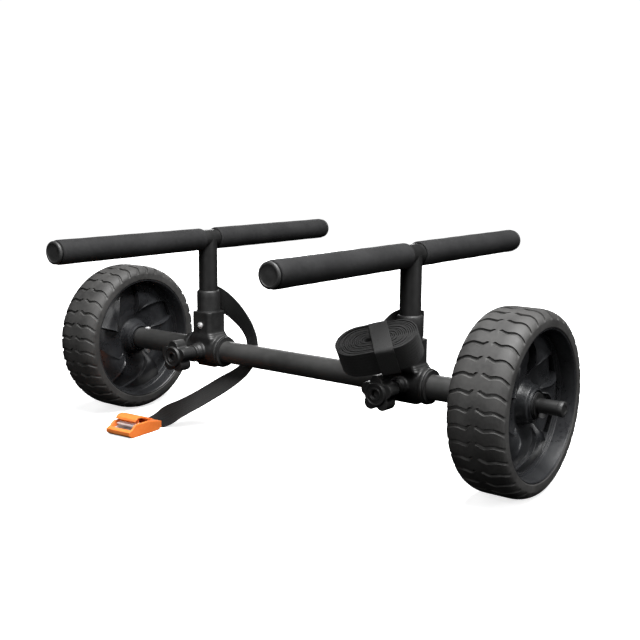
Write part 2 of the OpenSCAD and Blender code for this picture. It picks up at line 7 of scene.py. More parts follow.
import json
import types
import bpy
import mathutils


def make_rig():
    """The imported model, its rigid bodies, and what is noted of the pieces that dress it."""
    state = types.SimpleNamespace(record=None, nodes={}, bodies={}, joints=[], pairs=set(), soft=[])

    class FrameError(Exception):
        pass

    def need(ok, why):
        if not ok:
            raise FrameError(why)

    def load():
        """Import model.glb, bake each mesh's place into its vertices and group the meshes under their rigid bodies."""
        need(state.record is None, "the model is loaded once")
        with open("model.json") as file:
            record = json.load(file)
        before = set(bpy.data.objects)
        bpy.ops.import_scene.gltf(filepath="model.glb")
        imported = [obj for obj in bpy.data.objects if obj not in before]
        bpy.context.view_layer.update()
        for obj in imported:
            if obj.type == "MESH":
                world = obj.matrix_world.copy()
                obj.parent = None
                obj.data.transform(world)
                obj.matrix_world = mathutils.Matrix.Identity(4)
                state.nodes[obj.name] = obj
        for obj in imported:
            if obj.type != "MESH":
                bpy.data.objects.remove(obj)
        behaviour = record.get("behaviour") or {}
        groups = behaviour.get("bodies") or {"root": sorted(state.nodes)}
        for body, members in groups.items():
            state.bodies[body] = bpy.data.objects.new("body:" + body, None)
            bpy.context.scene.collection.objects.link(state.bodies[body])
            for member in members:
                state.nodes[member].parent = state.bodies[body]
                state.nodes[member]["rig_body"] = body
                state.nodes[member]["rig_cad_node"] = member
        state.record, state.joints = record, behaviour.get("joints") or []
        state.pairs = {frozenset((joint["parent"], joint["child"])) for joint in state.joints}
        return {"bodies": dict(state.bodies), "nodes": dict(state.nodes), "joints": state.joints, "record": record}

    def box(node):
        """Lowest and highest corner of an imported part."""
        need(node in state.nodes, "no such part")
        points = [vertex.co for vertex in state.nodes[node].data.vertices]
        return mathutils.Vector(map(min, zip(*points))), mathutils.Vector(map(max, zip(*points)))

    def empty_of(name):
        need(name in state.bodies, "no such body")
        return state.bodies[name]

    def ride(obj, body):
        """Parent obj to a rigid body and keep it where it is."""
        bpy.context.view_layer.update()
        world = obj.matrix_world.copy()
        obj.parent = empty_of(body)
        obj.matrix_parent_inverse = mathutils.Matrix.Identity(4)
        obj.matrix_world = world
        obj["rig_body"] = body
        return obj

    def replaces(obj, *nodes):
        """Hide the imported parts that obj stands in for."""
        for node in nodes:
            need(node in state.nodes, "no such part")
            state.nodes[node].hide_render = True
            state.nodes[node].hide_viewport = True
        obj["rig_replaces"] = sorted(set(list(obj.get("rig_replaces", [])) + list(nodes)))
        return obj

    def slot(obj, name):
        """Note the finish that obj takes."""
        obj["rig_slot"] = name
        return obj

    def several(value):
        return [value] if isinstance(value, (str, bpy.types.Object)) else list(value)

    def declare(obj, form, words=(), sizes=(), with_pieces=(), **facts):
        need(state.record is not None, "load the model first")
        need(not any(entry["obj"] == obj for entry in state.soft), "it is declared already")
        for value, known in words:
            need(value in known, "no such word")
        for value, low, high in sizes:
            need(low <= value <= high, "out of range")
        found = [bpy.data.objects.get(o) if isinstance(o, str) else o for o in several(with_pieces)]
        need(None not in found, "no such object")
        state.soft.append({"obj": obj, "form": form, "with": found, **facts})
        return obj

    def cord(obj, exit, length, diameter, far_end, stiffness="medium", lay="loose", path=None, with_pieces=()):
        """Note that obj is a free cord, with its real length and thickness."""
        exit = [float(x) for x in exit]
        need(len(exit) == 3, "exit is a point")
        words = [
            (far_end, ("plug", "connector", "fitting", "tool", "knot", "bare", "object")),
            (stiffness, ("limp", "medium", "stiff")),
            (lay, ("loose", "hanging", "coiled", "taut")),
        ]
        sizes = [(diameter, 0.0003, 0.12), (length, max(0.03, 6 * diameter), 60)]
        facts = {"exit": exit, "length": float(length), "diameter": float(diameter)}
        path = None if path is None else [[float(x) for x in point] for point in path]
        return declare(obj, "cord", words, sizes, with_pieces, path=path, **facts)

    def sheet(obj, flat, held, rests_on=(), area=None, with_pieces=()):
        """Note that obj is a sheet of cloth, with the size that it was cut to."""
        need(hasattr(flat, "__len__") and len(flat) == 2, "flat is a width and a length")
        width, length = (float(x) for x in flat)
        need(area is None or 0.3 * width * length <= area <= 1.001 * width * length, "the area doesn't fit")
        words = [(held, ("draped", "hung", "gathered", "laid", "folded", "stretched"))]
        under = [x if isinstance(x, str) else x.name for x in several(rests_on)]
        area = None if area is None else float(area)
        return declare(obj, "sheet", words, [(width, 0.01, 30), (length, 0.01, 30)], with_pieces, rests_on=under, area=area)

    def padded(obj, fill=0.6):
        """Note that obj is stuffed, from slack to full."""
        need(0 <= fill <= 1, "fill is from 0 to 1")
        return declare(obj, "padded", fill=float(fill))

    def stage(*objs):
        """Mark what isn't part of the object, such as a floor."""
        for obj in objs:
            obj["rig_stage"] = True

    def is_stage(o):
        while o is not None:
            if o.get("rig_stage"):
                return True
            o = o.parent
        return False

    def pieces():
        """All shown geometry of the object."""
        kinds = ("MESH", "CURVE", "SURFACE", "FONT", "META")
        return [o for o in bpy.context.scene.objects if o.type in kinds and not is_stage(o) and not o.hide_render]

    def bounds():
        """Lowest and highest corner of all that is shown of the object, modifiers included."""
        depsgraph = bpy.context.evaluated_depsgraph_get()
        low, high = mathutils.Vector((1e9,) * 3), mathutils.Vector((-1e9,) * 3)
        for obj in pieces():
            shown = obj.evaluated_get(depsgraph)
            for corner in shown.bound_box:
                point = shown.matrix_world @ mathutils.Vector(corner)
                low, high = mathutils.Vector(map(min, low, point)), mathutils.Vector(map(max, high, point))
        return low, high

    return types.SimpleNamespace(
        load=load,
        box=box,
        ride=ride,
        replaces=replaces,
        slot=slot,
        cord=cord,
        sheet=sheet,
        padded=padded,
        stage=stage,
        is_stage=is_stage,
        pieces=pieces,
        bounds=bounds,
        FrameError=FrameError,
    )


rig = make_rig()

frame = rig.load()

import json
import logging
import math
from dataclasses import dataclass
from enum import Enum
from typing import Any, Callable, Optional, Sequence

import bpy
from mathutils import Euler, Matrix, Vector

CAD_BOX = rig.bounds()
MM = 0.001
AXLE_Z = 127.0
LOG = logging.getLogger("bunk_cart")

Triple = tuple[float, float, float]
Pair = tuple[float, float]


class Side(Enum):
    """The two ends of the cart."""

    LEFT = "left"
    RIGHT = "right"

    @property
    def sign(self) -> int:
        """Which way along X this end lies."""
        return -1 if self is Side.LEFT else 1

    @property
    def post_x(self) -> float:
        """Where the bunk stand is along the cross tube, in millimetres."""
        return -184.0 if self is Side.LEFT else 210.0

    def node(self, part: str) -> str:
        """The name of this end's own CAD node for a part."""
        return f"{self.value}_{part}"


class Axis(Enum):
    """The directions a turned part can have, each with the way its radius starts."""

    X = (1, 0, 0), (0, 0, 1)
    Y = (0, 1, 0), (0, 0, 1)
    Z = (0, 0, 1), (1, 0, 0)

    @property
    def along(self) -> Vector:
        """The direction of the turning axis."""
        return Vector(self.value[0])

    @property
    def out(self) -> Vector:
        """The direction of the radius where the outline is drawn."""
        return Vector(self.value[1])


# ------------------------------------------------------------------ bench tools


def mm(x: float, y: float, z: float) -> Vector:
    """A point in metres from millimetres."""
    return Vector((x, y, z)) * MM


def ramp(x: float, low: float, high: float) -> float:
    """A smooth step.

    Args:
        x: Where it is read.
        low: Where the step starts from 0.
        high: Where it reaches 1.

    Returns:
        A number from 0 to 1.
    """
    t = min(1.0, max(0.0, (x - low) / (high - low)))
    return t * t * (3 - 2 * t)


def between(points: Sequence[Pair], x: float) -> float:
    """Reads a curve given by a few points, with straight runs between them.

    Args:
        points: Pairs of place and value, in rising order.
        x: Where it is read.

    Returns:
        The value at x, held flat past the ends.
    """
    if x <= points[0][0]:
        return points[0][1]
    for (x0, y0), (x1, y1) in zip(points, points[1:]):
        if x <= x1:
            return y0 + (y1 - y0) * (x - x0) / (x1 - x0)
    return points[-1][1]


def flowing(points: Sequence[Pair], x: float) -> float:
    """Reads a smooth curve through given points.

    Args:
        points: Pairs of place and value, in order of place.
        x: The place that is read.

    Returns:
        The value there, and the end values past the ends.
    """
    if x <= points[0][0]:
        return points[0][1]
    if x >= points[-1][0]:
        return points[-1][1]
    i = next(k for k in range(len(points) - 1) if x < points[k + 1][0])
    (x0, y0), (x1, y1) = points[i], points[i + 1]
    span, share = x1 - x0, (x - x0) / (x1 - x0)
    before = points[max(i - 1, 0)]
    after = points[min(i + 2, len(points) - 1)]
    rise0 = (y1 - before[1]) / (x1 - before[0]) * span
    rise1 = (after[1] - y0) / (after[0] - x0) * span
    a, b = share**2, share**3
    level = y0 * (2 * b - 3 * a + 1) + y1 * (3 * a - 2 * b)
    return level + rise0 * (b - 2 * a + share) + rise1 * (b - a)


def smooth_path(points: Sequence[Vector], per_span: int) -> list[Vector]:
    """Runs a smooth curve through points.

    Args:
        points: What the curve passes through.
        per_span: How many steps it takes from one point to the next.

    Returns:
        The points of the curve.
    """
    ends = [2 * points[0] - points[1], *points, 2 * points[-1] - points[-2]]
    found = []
    for i in range(1, len(ends) - 2):
        a, b, c, d = ends[i - 1 : i + 3]
        for k in range(per_span):
            t = k / per_span
            bend = (2 * a - 5 * b + 4 * c - d) * t * t + (3 * b - a - 3 * c + d) * t**3
            found.append(0.5 * (2 * b + (c - a) * t + bend))
    return found + [points[-1].copy()]


def strap_route(
    route: Sequence[tuple[Triple, Triple]], per_span: int
) -> tuple[list[Vector], list[Vector]]:
    """Runs a smooth strap along a route.

    Args:
        route: Points in millimetres, each with the direction of the strap's width.
        per_span: How many steps the strap takes from one point to the next.

    Returns:
        The centre line in metres, and the direction of the width at each point.
    """
    path = smooth_path([mm(*place) for place, _ in route], per_span)
    return path, smooth_path([Vector(across) for _, across in route], per_span)


def run_of(path: Sequence[Vector]) -> float:
    """The length of a line through points."""
    return sum((b - a).length for a, b in zip(path, path[1:]))


class Bench:
    """Shaping by hand: primitives, edit-mode operators and modifiers."""

    @staticmethod
    def clear() -> None:
        """Leaves edit mode and deselects everything."""
        if bpy.context.mode != "OBJECT":
            bpy.ops.object.mode_set(mode="OBJECT")
        bpy.ops.object.select_all(action="DESELECT")

    @staticmethod
    def hold(obj: bpy.types.Object) -> None:
        """Makes one object the only selected one, and the active one."""
        Bench.clear()
        obj.select_set(True)
        bpy.context.view_layer.objects.active = obj

    @staticmethod
    def edit(obj: bpy.types.Object, mode: str = "VERT") -> None:
        """Opens an object in edit mode with all of it selected.

        Args:
            obj: The object.
            mode: VERT, EDGE or FACE.
        """
        Bench.hold(obj)
        bpy.ops.object.mode_set(mode="EDIT")
        bpy.ops.mesh.select_mode(type=mode)
        bpy.ops.mesh.select_all(action="SELECT")

    @staticmethod
    def pick(obj: bpy.types.Object, test: Callable[[Vector, Vector], bool]) -> None:
        """Selects the faces that pass a test, and opens edit mode on them.

        Args:
            obj: The object.
            test: Takes a face's centre in metres and its normal.
        """
        Bench.edit(obj, "FACE")
        bpy.ops.mesh.select_all(action="DESELECT")
        bpy.ops.object.mode_set(mode="OBJECT")
        for face in obj.data.polygons:
            face.select = test(obj.matrix_world @ face.center, face.normal)
        bpy.ops.object.mode_set(mode="EDIT")

    @staticmethod
    def apply(obj: bpy.types.Object, kind: str, **settings: Any) -> None:
        """Adds one modifier and applies it.

        Args:
            obj: The object.
            kind: The modifier's type.
            settings: Its settings by name.
        """
        Bench.hold(obj)
        modifier = obj.modifiers.new(kind.title(), kind)
        for name, value in settings.items():
            setattr(modifier, name, value)
        bpy.ops.object.modifier_apply(modifier=modifier.name)

    @staticmethod
    def settle(obj: bpy.types.Object, name: str, angle: float = 35) -> bpy.types.Object:
        """Names a piece, puts its place into its mesh and smooths it.

        Args:
            obj: The object.
            name: The piece's name.
            angle: Edges sharper than this, in degrees, stay sharp.

        Returns:
            The same object.
        """
        Bench.hold(obj)
        bpy.ops.object.transform_apply(location=True, rotation=True, scale=True)
        bpy.ops.object.shade_smooth_by_angle(angle=math.radians(angle))
        obj.name = obj.data.name = name
        return obj

    @staticmethod
    def close_seams(obj: bpy.types.Object, distance: float = 1e-6) -> None:
        """Merges doubled points and turns every face outwards.

        Args:
            obj: The object.
            distance: Points nearer than this, in metres, become one.
        """
        Bench.edit(obj)
        bpy.ops.mesh.remove_doubles(threshold=distance)
        bpy.ops.mesh.normals_make_consistent(inside=False)
        bpy.ops.object.mode_set(mode="OBJECT")

    @staticmethod
    def join(first: bpy.types.Object, *others: bpy.types.Object) -> bpy.types.Object:
        """Joins pieces into the first one, and returns it."""
        Bench.hold(first)
        for other in others:
            other.select_set(True)
        bpy.ops.object.join()
        return first

    @staticmethod
    def twin(
        obj: bpy.types.Object, name: str, move: Vector, turn_at: Optional[Vector] = None
    ) -> bpy.types.Object:
        """Copies a finished piece to another place, with its own mesh.

        Args:
            obj: The piece.
            name: The copy's name.
            move: How far the copy is moved, in metres.
            turn_at: The upright axis of a half turn of the copy, if it has one.

        Returns:
            The copy.
        """
        copy = obj.copy()
        copy.data = obj.data.copy()
        bpy.context.scene.collection.objects.link(copy)
        Bench.hold(copy)
        if turn_at is not None:
            bpy.ops.transform.rotate(
                value=math.pi, orient_axis="Z", center_override=turn_at
            )
        bpy.ops.transform.translate(value=move)
        bpy.ops.object.transform_apply(location=True, rotation=True, scale=True)
        copy.name = copy.data.name = name
        return copy

    @staticmethod
    def outline(points: Sequence[Vector]) -> bpy.types.Object:
        """Draws a line by extruding one point from place to place.

        Args:
            points: The places, in metres.

        Returns:
            An object of points and edges, open in edit mode.
        """
        Bench.clear()
        bpy.ops.mesh.primitive_plane_add(size=0.001, location=points[0])
        obj = bpy.context.active_object
        Bench.edit(obj)
        bpy.ops.mesh.merge(type="CENTER")
        for here, there in zip(points, points[1:]):
            bpy.ops.mesh.extrude_region_move(
                TRANSFORM_OT_translate={"value": there - here}
            )
        return obj

    @staticmethod
    def turned(
        profile: Sequence[Pair], centre: Vector, axis: Axis, steps: int = 64
    ) -> bpy.types.Object:
        """Turns a profile round an axis, as on a lathe.

        Args:
            profile: Pairs of distance along the axis and radius, in millimetres.
            centre: The point of the axis that distances are measured from, in metres.
            axis: Which way the axis runs.
            steps: How many steps go round.

        Returns:
            The turned object, with seams closed.
        """
        obj = Bench.outline(
            [centre + (axis.along * a + axis.out * r) * MM for a, r in profile]
        )
        bpy.ops.mesh.select_all(action="SELECT")
        bpy.ops.mesh.spin(
            steps=steps, angle=math.tau, center=centre, axis=axis.along
        )
        Bench.close_seams(obj)
        return obj

    @staticmethod
    def two_ended(
        profile: Sequence[Pair], centre: Vector, axis: Axis, steps: int
    ) -> bpy.types.Object:
        """Turns the same cap at both ends of a bar.

        Args:
            profile: One cap, as for turned, with distances from the bar's middle.
            centre: The bar's middle, in metres.
            axis: Which way the bar runs.
            steps: How many steps go round.

        Returns:
            Both caps as one object.
        """
        made = [
            Bench.turned([(way * a, r) for a, r in profile], centre, axis, steps)
            for way in (-1, 1)
        ]
        return Bench.join(*made)

    @staticmethod
    def soft_copy(node: str, voxel: float, passes: int) -> bpy.types.Object:
        """Copies a CAD node and rounds its edges, as a moulded part has them.

        Args:
            node: The CAD node.
            voxel: The size of the new mesh's cells, in millimetres.
            passes: How many times it is smoothed.

        Returns:
            The new object, on its own mesh.
        """
        source = frame["nodes"][node]
        copy = source.copy()
        copy.data = source.data.copy()
        copy.parent = None
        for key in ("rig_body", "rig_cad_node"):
            del copy[key]
        copy.data.materials.clear()
        bpy.context.scene.collection.objects.link(copy)
        copy.hide_render = copy.hide_viewport = False
        Bench.close_seams(copy, 1e-5)
        Bench.apply(copy, "REMESH", mode="VOXEL", voxel_size=voxel * MM)
        Bench.apply(copy, "SMOOTH", factor=0.5, iterations=passes)
        return copy


@dataclass
class Ribbon:
    """A flat woven strip swept along a path.

    Attributes:
        width: Across the strip, in metres.
        thickness: Through the strip, in metres.
        cells: How many cells cross its width.
    """

    width: float
    thickness: float
    cells: int = 6

    def section(self) -> list[Pair]:
        """The strip's section, with round edges, as pairs across and through."""
        a, b = self.width / 2, self.thickness / 2
        across = [-1 + 2 * i / self.cells for i in range(self.cells + 1)]
        low = [(a * min(max(s, -0.985), 0.985), -b) for s in across]
        high = [(x, b) for x, _ in reversed(low)]
        return [*low, (a, 0.0), *high, (-a, 0.0)]

    def sweep(
        self,
        name: str,
        path: Sequence[Vector],
        across: Sequence[Vector],
        loop: bool = False,
    ) -> bpy.types.Object:
        """Makes the strip.

        Args:
            name: The piece's name.
            path: The points of its centre line, in metres.
            across: The direction of its width at each point.
            loop: Whether its end joins its start.

        Returns:
            The strip, with a UV map of its length in U and width in V, in metres.
        """
        section, n = self.section(), len(path)
        k, points, run = len(section), [], [0.0]
        for i in range(n):
            before = path[i - 1] if i or loop else path[0]
            after = path[(i + 1) % n] if i < n - 1 or loop else path[-1]
            t = (after - before).normalized()
            w = (across[i] - across[i].dot(t) * t).normalized()
            up = t.cross(w)
            points += [path[i] + w * x + up * y for x, y in section]
            run.append(run[-1] + (path[(i + 1) % n] - path[i]).length)
        faces, spans = [], n if loop else n - 1
        for i in range(spans):
            j = (i + 1) % n
            faces += [
                (i * k + s, i * k + (s + 1) % k, j * k + (s + 1) % k, j * k + s)
                for s in range(k)
            ]
        if not loop:
            faces += [tuple(range(k - 1, -1, -1)), tuple(range((n - 1) * k, n * k))]
        mesh = bpy.data.meshes.new(name)
        mesh.from_pydata([tuple(p) for p in points], [], faces)
        uv = mesh.uv_layers.new(name="Weave")
        for number, face in enumerate(mesh.polygons):
            row = number // k
            for loop_index in face.loop_indices:
                vertex = mesh.loops[loop_index].vertex_index
                i, s = divmod(vertex, k)
                far = loop and row == n - 1 and i == 0
                uv.data[loop_index].uv = (run[n] if far else run[i], section[s][0])
        obj = bpy.data.objects.new(name, mesh)
        bpy.context.scene.collection.objects.link(obj)
        Bench.edit(obj)
        bpy.ops.mesh.normals_make_consistent(inside=False)
        bpy.ops.object.mode_set(mode="OBJECT")
        return Bench.settle(obj, name, 50)


# ------------------------------------------------------------------ finishes


class Sock:
    """A shader socket that takes part in Python arithmetic on numbers."""

    def __init__(self, tree: bpy.types.NodeTree, socket: bpy.types.NodeSocket) -> None:
        """Keeps the tree and the socket.

        Args:
            tree: The material's node tree.
            socket: The output socket.
        """
        self.tree, self.socket = tree, socket

    def math(self, operation: str, *others: "Sock | float") -> "Sock":
        """Adds one Math node.

        Args:
            operation: The node's operation.
            others: Its inputs after this socket.

        Returns:
            The node's result.
        """
        node = self.tree.nodes.new("ShaderNodeMath")
        node.operation = operation
        for slot, value in zip(node.inputs, (self, *others)):
            if isinstance(value, Sock):
                self.tree.links.new(value.socket, slot)
            else:
                slot.default_value = value
        return Sock(self.tree, node.outputs[0])

    def __add__(self, other: "Sock | float") -> "Sock":
        """Adds."""
        return self.math("ADD", other)

    def __radd__(self, other: float) -> "Sock":
        """Adds to a number."""
        return self.math("ADD", other)

    def __mul__(self, other: "Sock | float") -> "Sock":
        """Multiplies."""
        return self.math("MULTIPLY", other)

    def __rmul__(self, other: float) -> "Sock":
        """Multiplies a number."""
        return self.math("MULTIPLY", other)

    def __abs__(self) -> "Sock":
        """Drops the sign."""
        return self.math("ABSOLUTE")

    def sine(self) -> "Sock":
        """The sine, in radians."""
        return self.math("SINE")

    def zigzag(self, size: float) -> "Sock":
        """Goes up and down between 0 and size."""
        return self.math("PINGPONG", size)


class Studio:
    """The nodes of one material."""

    def __init__(self, name: str) -> None:
        """Starts an empty material with its Principled shader.

        Args:
            name: The material's name.
        """
        self.material = bpy.data.materials.new(name)
        self.material.use_nodes = True
        self.tree = self.material.node_tree
        self.tree.nodes.clear()
        surface = self.node("BsdfPrincipled")
        self.shader = surface.socket.node
        self.node("OutputMaterial", inputs={"Surface": surface}, output=None)

    def node(
        self,
        kind: str,
        settings: Optional[dict[str, Any]] = None,
        inputs: Optional[dict[Any, Any]] = None,
        output: Any = 0,
    ) -> Optional[Sock]:
        """Adds any node but Math.

        Args:
            kind: The node's type, without its ShaderNode prefix.
            settings: Its own settings; stops is a ramp's list of place and grey.
            inputs: Values or other sockets by input name or number.
            output: Which output is returned, by name or number, or None for no output.

        Returns:
            That output, or None.
        """
        made = self.tree.nodes.new("ShaderNode" + kind)
        for name, value in (settings or {}).items():
            if name == "stops":
                elements = made.color_ramp.elements
                while len(elements) < len(value):
                    elements.new(0.5)
                for element, (place, grey) in zip(elements, value):
                    element.position, element.color = place, (grey, grey, grey, 1)
            else:
                setattr(made, name, value)
        for name, value in (inputs or {}).items():
            if isinstance(value, Sock):
                self.tree.links.new(value.socket, made.inputs[name])
            else:
                made.inputs[name].default_value = value
        return None if output is None else Sock(self.tree, made.outputs[output])

    def place(self) -> Sock:
        """Object coordinates."""
        return self.node("TexCoord", output="Object")

    def noise(self, scale: float, detail: float = 3, where: Optional[Sock] = None) -> Sock:
        """Noise of a given scale.

        Args:
            scale: Cells per metre.
            detail: How many finer layers it has.
            where: The coordinates, or Object coordinates if left out.

        Returns:
            A number from 0 to 1.
        """
        return self.node(
            "TexNoise",
            inputs={"Vector": where or self.place(), "Scale": scale, "Detail": detail},
        )

    def cells(self, scale: float) -> Sock:
        """The distance from the middle of the nearest of many small cells.

        Args:
            scale: Cells per metre.

        Returns:
            A number from 0 up.
        """
        return self.node(
            "TexVoronoi",
            inputs={"Vector": self.place(), "Scale": scale},
            output="Distance",
        )

    def stretched(self, scale: Triple) -> Sock:
        """Object coordinates with a scale of their own in each direction."""
        return self.node("Mapping", inputs={"Vector": self.place(), "Scale": scale})

    def span(self, value: Sock, low: float, high: float, to: Pair = (0.0, 1.0)) -> Sock:
        """Maps a number from one range to another, without going past its ends.

        Args:
            value: The number.
            low: The start of its range.
            high: The end of its range.
            to: The range it is mapped to.

        Returns:
            The mapped number.
        """
        return self.node(
            "MapRange",
            inputs={
                "Value": value,
                "From Min": low,
                "From Max": high,
                "To Min": to[0],
                "To Max": to[1],
            },
        )

    def blend(self, share: Sock, low: Triple, high: Triple) -> Sock:
        """Mixes two colours.

        Args:
            share: 0 gives the first, 1 the second.
            low: The first colour.
            high: The second colour.

        Returns:
            The colour.
        """
        return self.node(
            "Mix",
            {"data_type": "RGBA"},
            {0: share, 6: (*low, 1), 7: (*high, 1)},
            output=2,
        )

    def fix(self, **constants: Any) -> None:
        """Sets the shader's own sockets, with underscores for spaces in their names."""
        for name, value in constants.items():
            self.shader.inputs[name.replace("_", " ")].default_value = value

    def feed(self, socket: str, value: Sock) -> None:
        """Links a value to one of the shader's sockets.

        Args:
            socket: The socket's name.
            value: What feeds it.
        """
        self.tree.links.new(value.socket, self.shader.inputs[socket])

    def bump(self, height: Sock, distance: float) -> None:
        """Feeds a height to the shader's normal.

        Args:
            height: The height, as a number.
            distance: How far 1 stands out, in metres.
        """
        inputs = {"Height": height, "Distance": distance, "Strength": 1.0}
        self.feed("Normal", self.node("Bump", inputs=inputs))


@dataclass(frozen=True)
class Finish:
    """What every finish has.

    Attributes:
        name: The material's name.
        dark: The darker colour of its mottling.
        light: The lighter colour of its mottling.
        rough: Its roughness where it is smoothest and where it is roughest.
    """

    name: str
    dark: Triple
    light: Triple
    rough: Pair

    def start(self, patch: float) -> tuple[Studio, Sock]:
        """Starts the material with its mottled colour and roughness.

        Args:
            patch: How many patches of the mottling there are in a metre.

        Returns:
            The material's nodes, and the mottling as a number from 0 to 1.
        """
        studio = Studio(self.name)
        broad = studio.noise(patch, 5)
        fine = studio.noise(patch * 9, 4)
        patches = studio.span(broad * 0.65 + fine * 0.35, 0.36, 0.64)
        studio.feed("Base Color", studio.blend(patches, self.dark, self.light))
        studio.feed("Roughness", studio.span(patches, 0, 1, self.rough))
        return studio, patches

    def make(self) -> bpy.types.Material:
        """Makes the material."""
        raise NotImplementedError


@dataclass(frozen=True)
class Coat(Finish):
    """A powder coat, with its orange peel.

    Attributes:
        peel: Bumps of the orange peel in a metre.
        depth: Their height, in metres.
    """

    peel: float = 900.0
    depth: float = 0.00006

    def make(self) -> bpy.types.Material:
        """Makes the material."""
        studio, _ = self.start(10)
        fleck = studio.noise(self.peel * 3.1, 2)
        studio.bump(studio.noise(self.peel, 2) + fleck * 0.35, self.depth)
        studio.fix(Specular_IOR_Level=0.42)
        return studio.material


@dataclass(frozen=True)
class Moulded(Finish):
    """A moulded plastic with a fine spark-eroded grain.

    Attributes:
        grain: Bumps of the grain in a metre.
        depth: Their height, in metres.
    """

    grain: float = 1500.0
    depth: float = 0.00008

    def make(self) -> bpy.types.Material:
        """Makes the material."""
        studio, patches = self.start(22)
        pits = studio.cells(self.grain)
        grain = studio.noise(self.grain * 0.6, 3)
        studio.bump(pits * 0.6 + grain * 0.5 + patches * 0.15, self.depth)
        return studio.material


@dataclass(frozen=True)
class Rubber(Finish):
    """Tyre rubber, with fine pores and the marks of its flow in the mould.

    Attributes:
        pore: Pores in a metre.
        flow: Flow marks in a metre.
        depth: Their height, in metres.
    """

    pore: float = 1900.0
    flow: float = 160.0
    depth: float = 0.00012

    def make(self) -> bpy.types.Material:
        """Makes the material."""
        studio, patches = self.start(26)
        pores = studio.noise(self.pore, 3)
        flow = studio.noise(self.flow, 5)
        studio.bump(pores * 0.6 + flow * 0.6 + patches * 0.2, self.depth)
        return studio.material


@dataclass(frozen=True)
class FoamSkin(Finish):
    """The skin of a closed-cell foam sleeve: pores and faint marks along it.

    Attributes:
        pore: Pores in a metre.
        streak: Marks in a metre, in each direction.
        depth: Their height, in metres.
    """

    pore: float = 1500.0
    streak: Triple = (260.0, 14.0, 260.0)
    depth: float = 0.00014

    def make(self) -> bpy.types.Material:
        """Makes the material."""
        studio, patches = self.start(18)
        streaks = studio.noise(1.0, 4, studio.stretched(self.streak))
        pores = studio.cells(self.pore)
        studio.bump(pores * 0.7 + streaks * 0.5 + patches * 0.3, self.depth)
        studio.fix(Specular_IOR_Level=0.16)
        return studio.material


@dataclass(frozen=True)
class Weave(Finish):
    """Webbing: a herringbone of yarns that follows the strip's own UV map.

    Attributes:
        yarn: Width of a yarn, in metres.
        column: Width of one column of the herringbone, in metres.
        fuzz: Loose fibres in a metre.
        depth: Height of the weave, in metres.
    """

    yarn: float = 0.0017
    column: float = 0.0024
    fuzz: float = 2600.0
    depth: float = 0.00035

    def make(self) -> bpy.types.Material:
        """Makes the material."""
        studio, patches = self.start(40)
        uv = studio.node("UVMap", {"uv_map": "Weave"})
        along, across = (
            studio.node("SeparateXYZ", inputs={0: uv}, output=axis) for axis in "XY"
        )
        slant = (across + 1.0).zigzag(self.column)
        yarns = ((along + slant * 0.9) * (math.tau / self.yarn)).sine()
        ribs = (across * (math.pi / self.column)).sine()
        fuzz = studio.noise(self.fuzz, 3)
        weave = yarns * 0.35 + abs(ribs) * 0.25 + fuzz * 0.3 + 0.2
        colour = studio.span(weave + patches * 0.25, 0.05, 0.95)
        studio.feed("Base Color", studio.blend(colour, self.dark, self.light))
        studio.bump(weave, self.depth)
        studio.fix(Sheen_Weight=0.04, Sheen_Roughness=0.5, Specular_IOR_Level=0.3)
        return studio.material


@dataclass(frozen=True)
class Plated(Finish):
    """Bare or plated metal, with fine scratches.

    Attributes:
        scratch: Scratches in a metre.
        drawn: How far they are drawn out, in each direction.
        depth: Their depth, in metres.
        shine: How metallic it is.
    """

    scratch: float = 700.0
    drawn: Triple = (1.0, 0.12, 1.0)
    depth: float = 0.00005
    shine: float = 0.55

    def make(self) -> bpy.types.Material:
        """Makes the material."""
        studio, patches = self.start(60)
        lines = studio.noise(self.scratch, 4, studio.stretched(self.drawn))
        studio.bump(lines + patches * 0.3, self.depth)
        studio.fix(Metallic=self.shine)
        return studio.material


def grey(level: float) -> Triple:
    """A colour with no hue."""
    return (level, level, level)


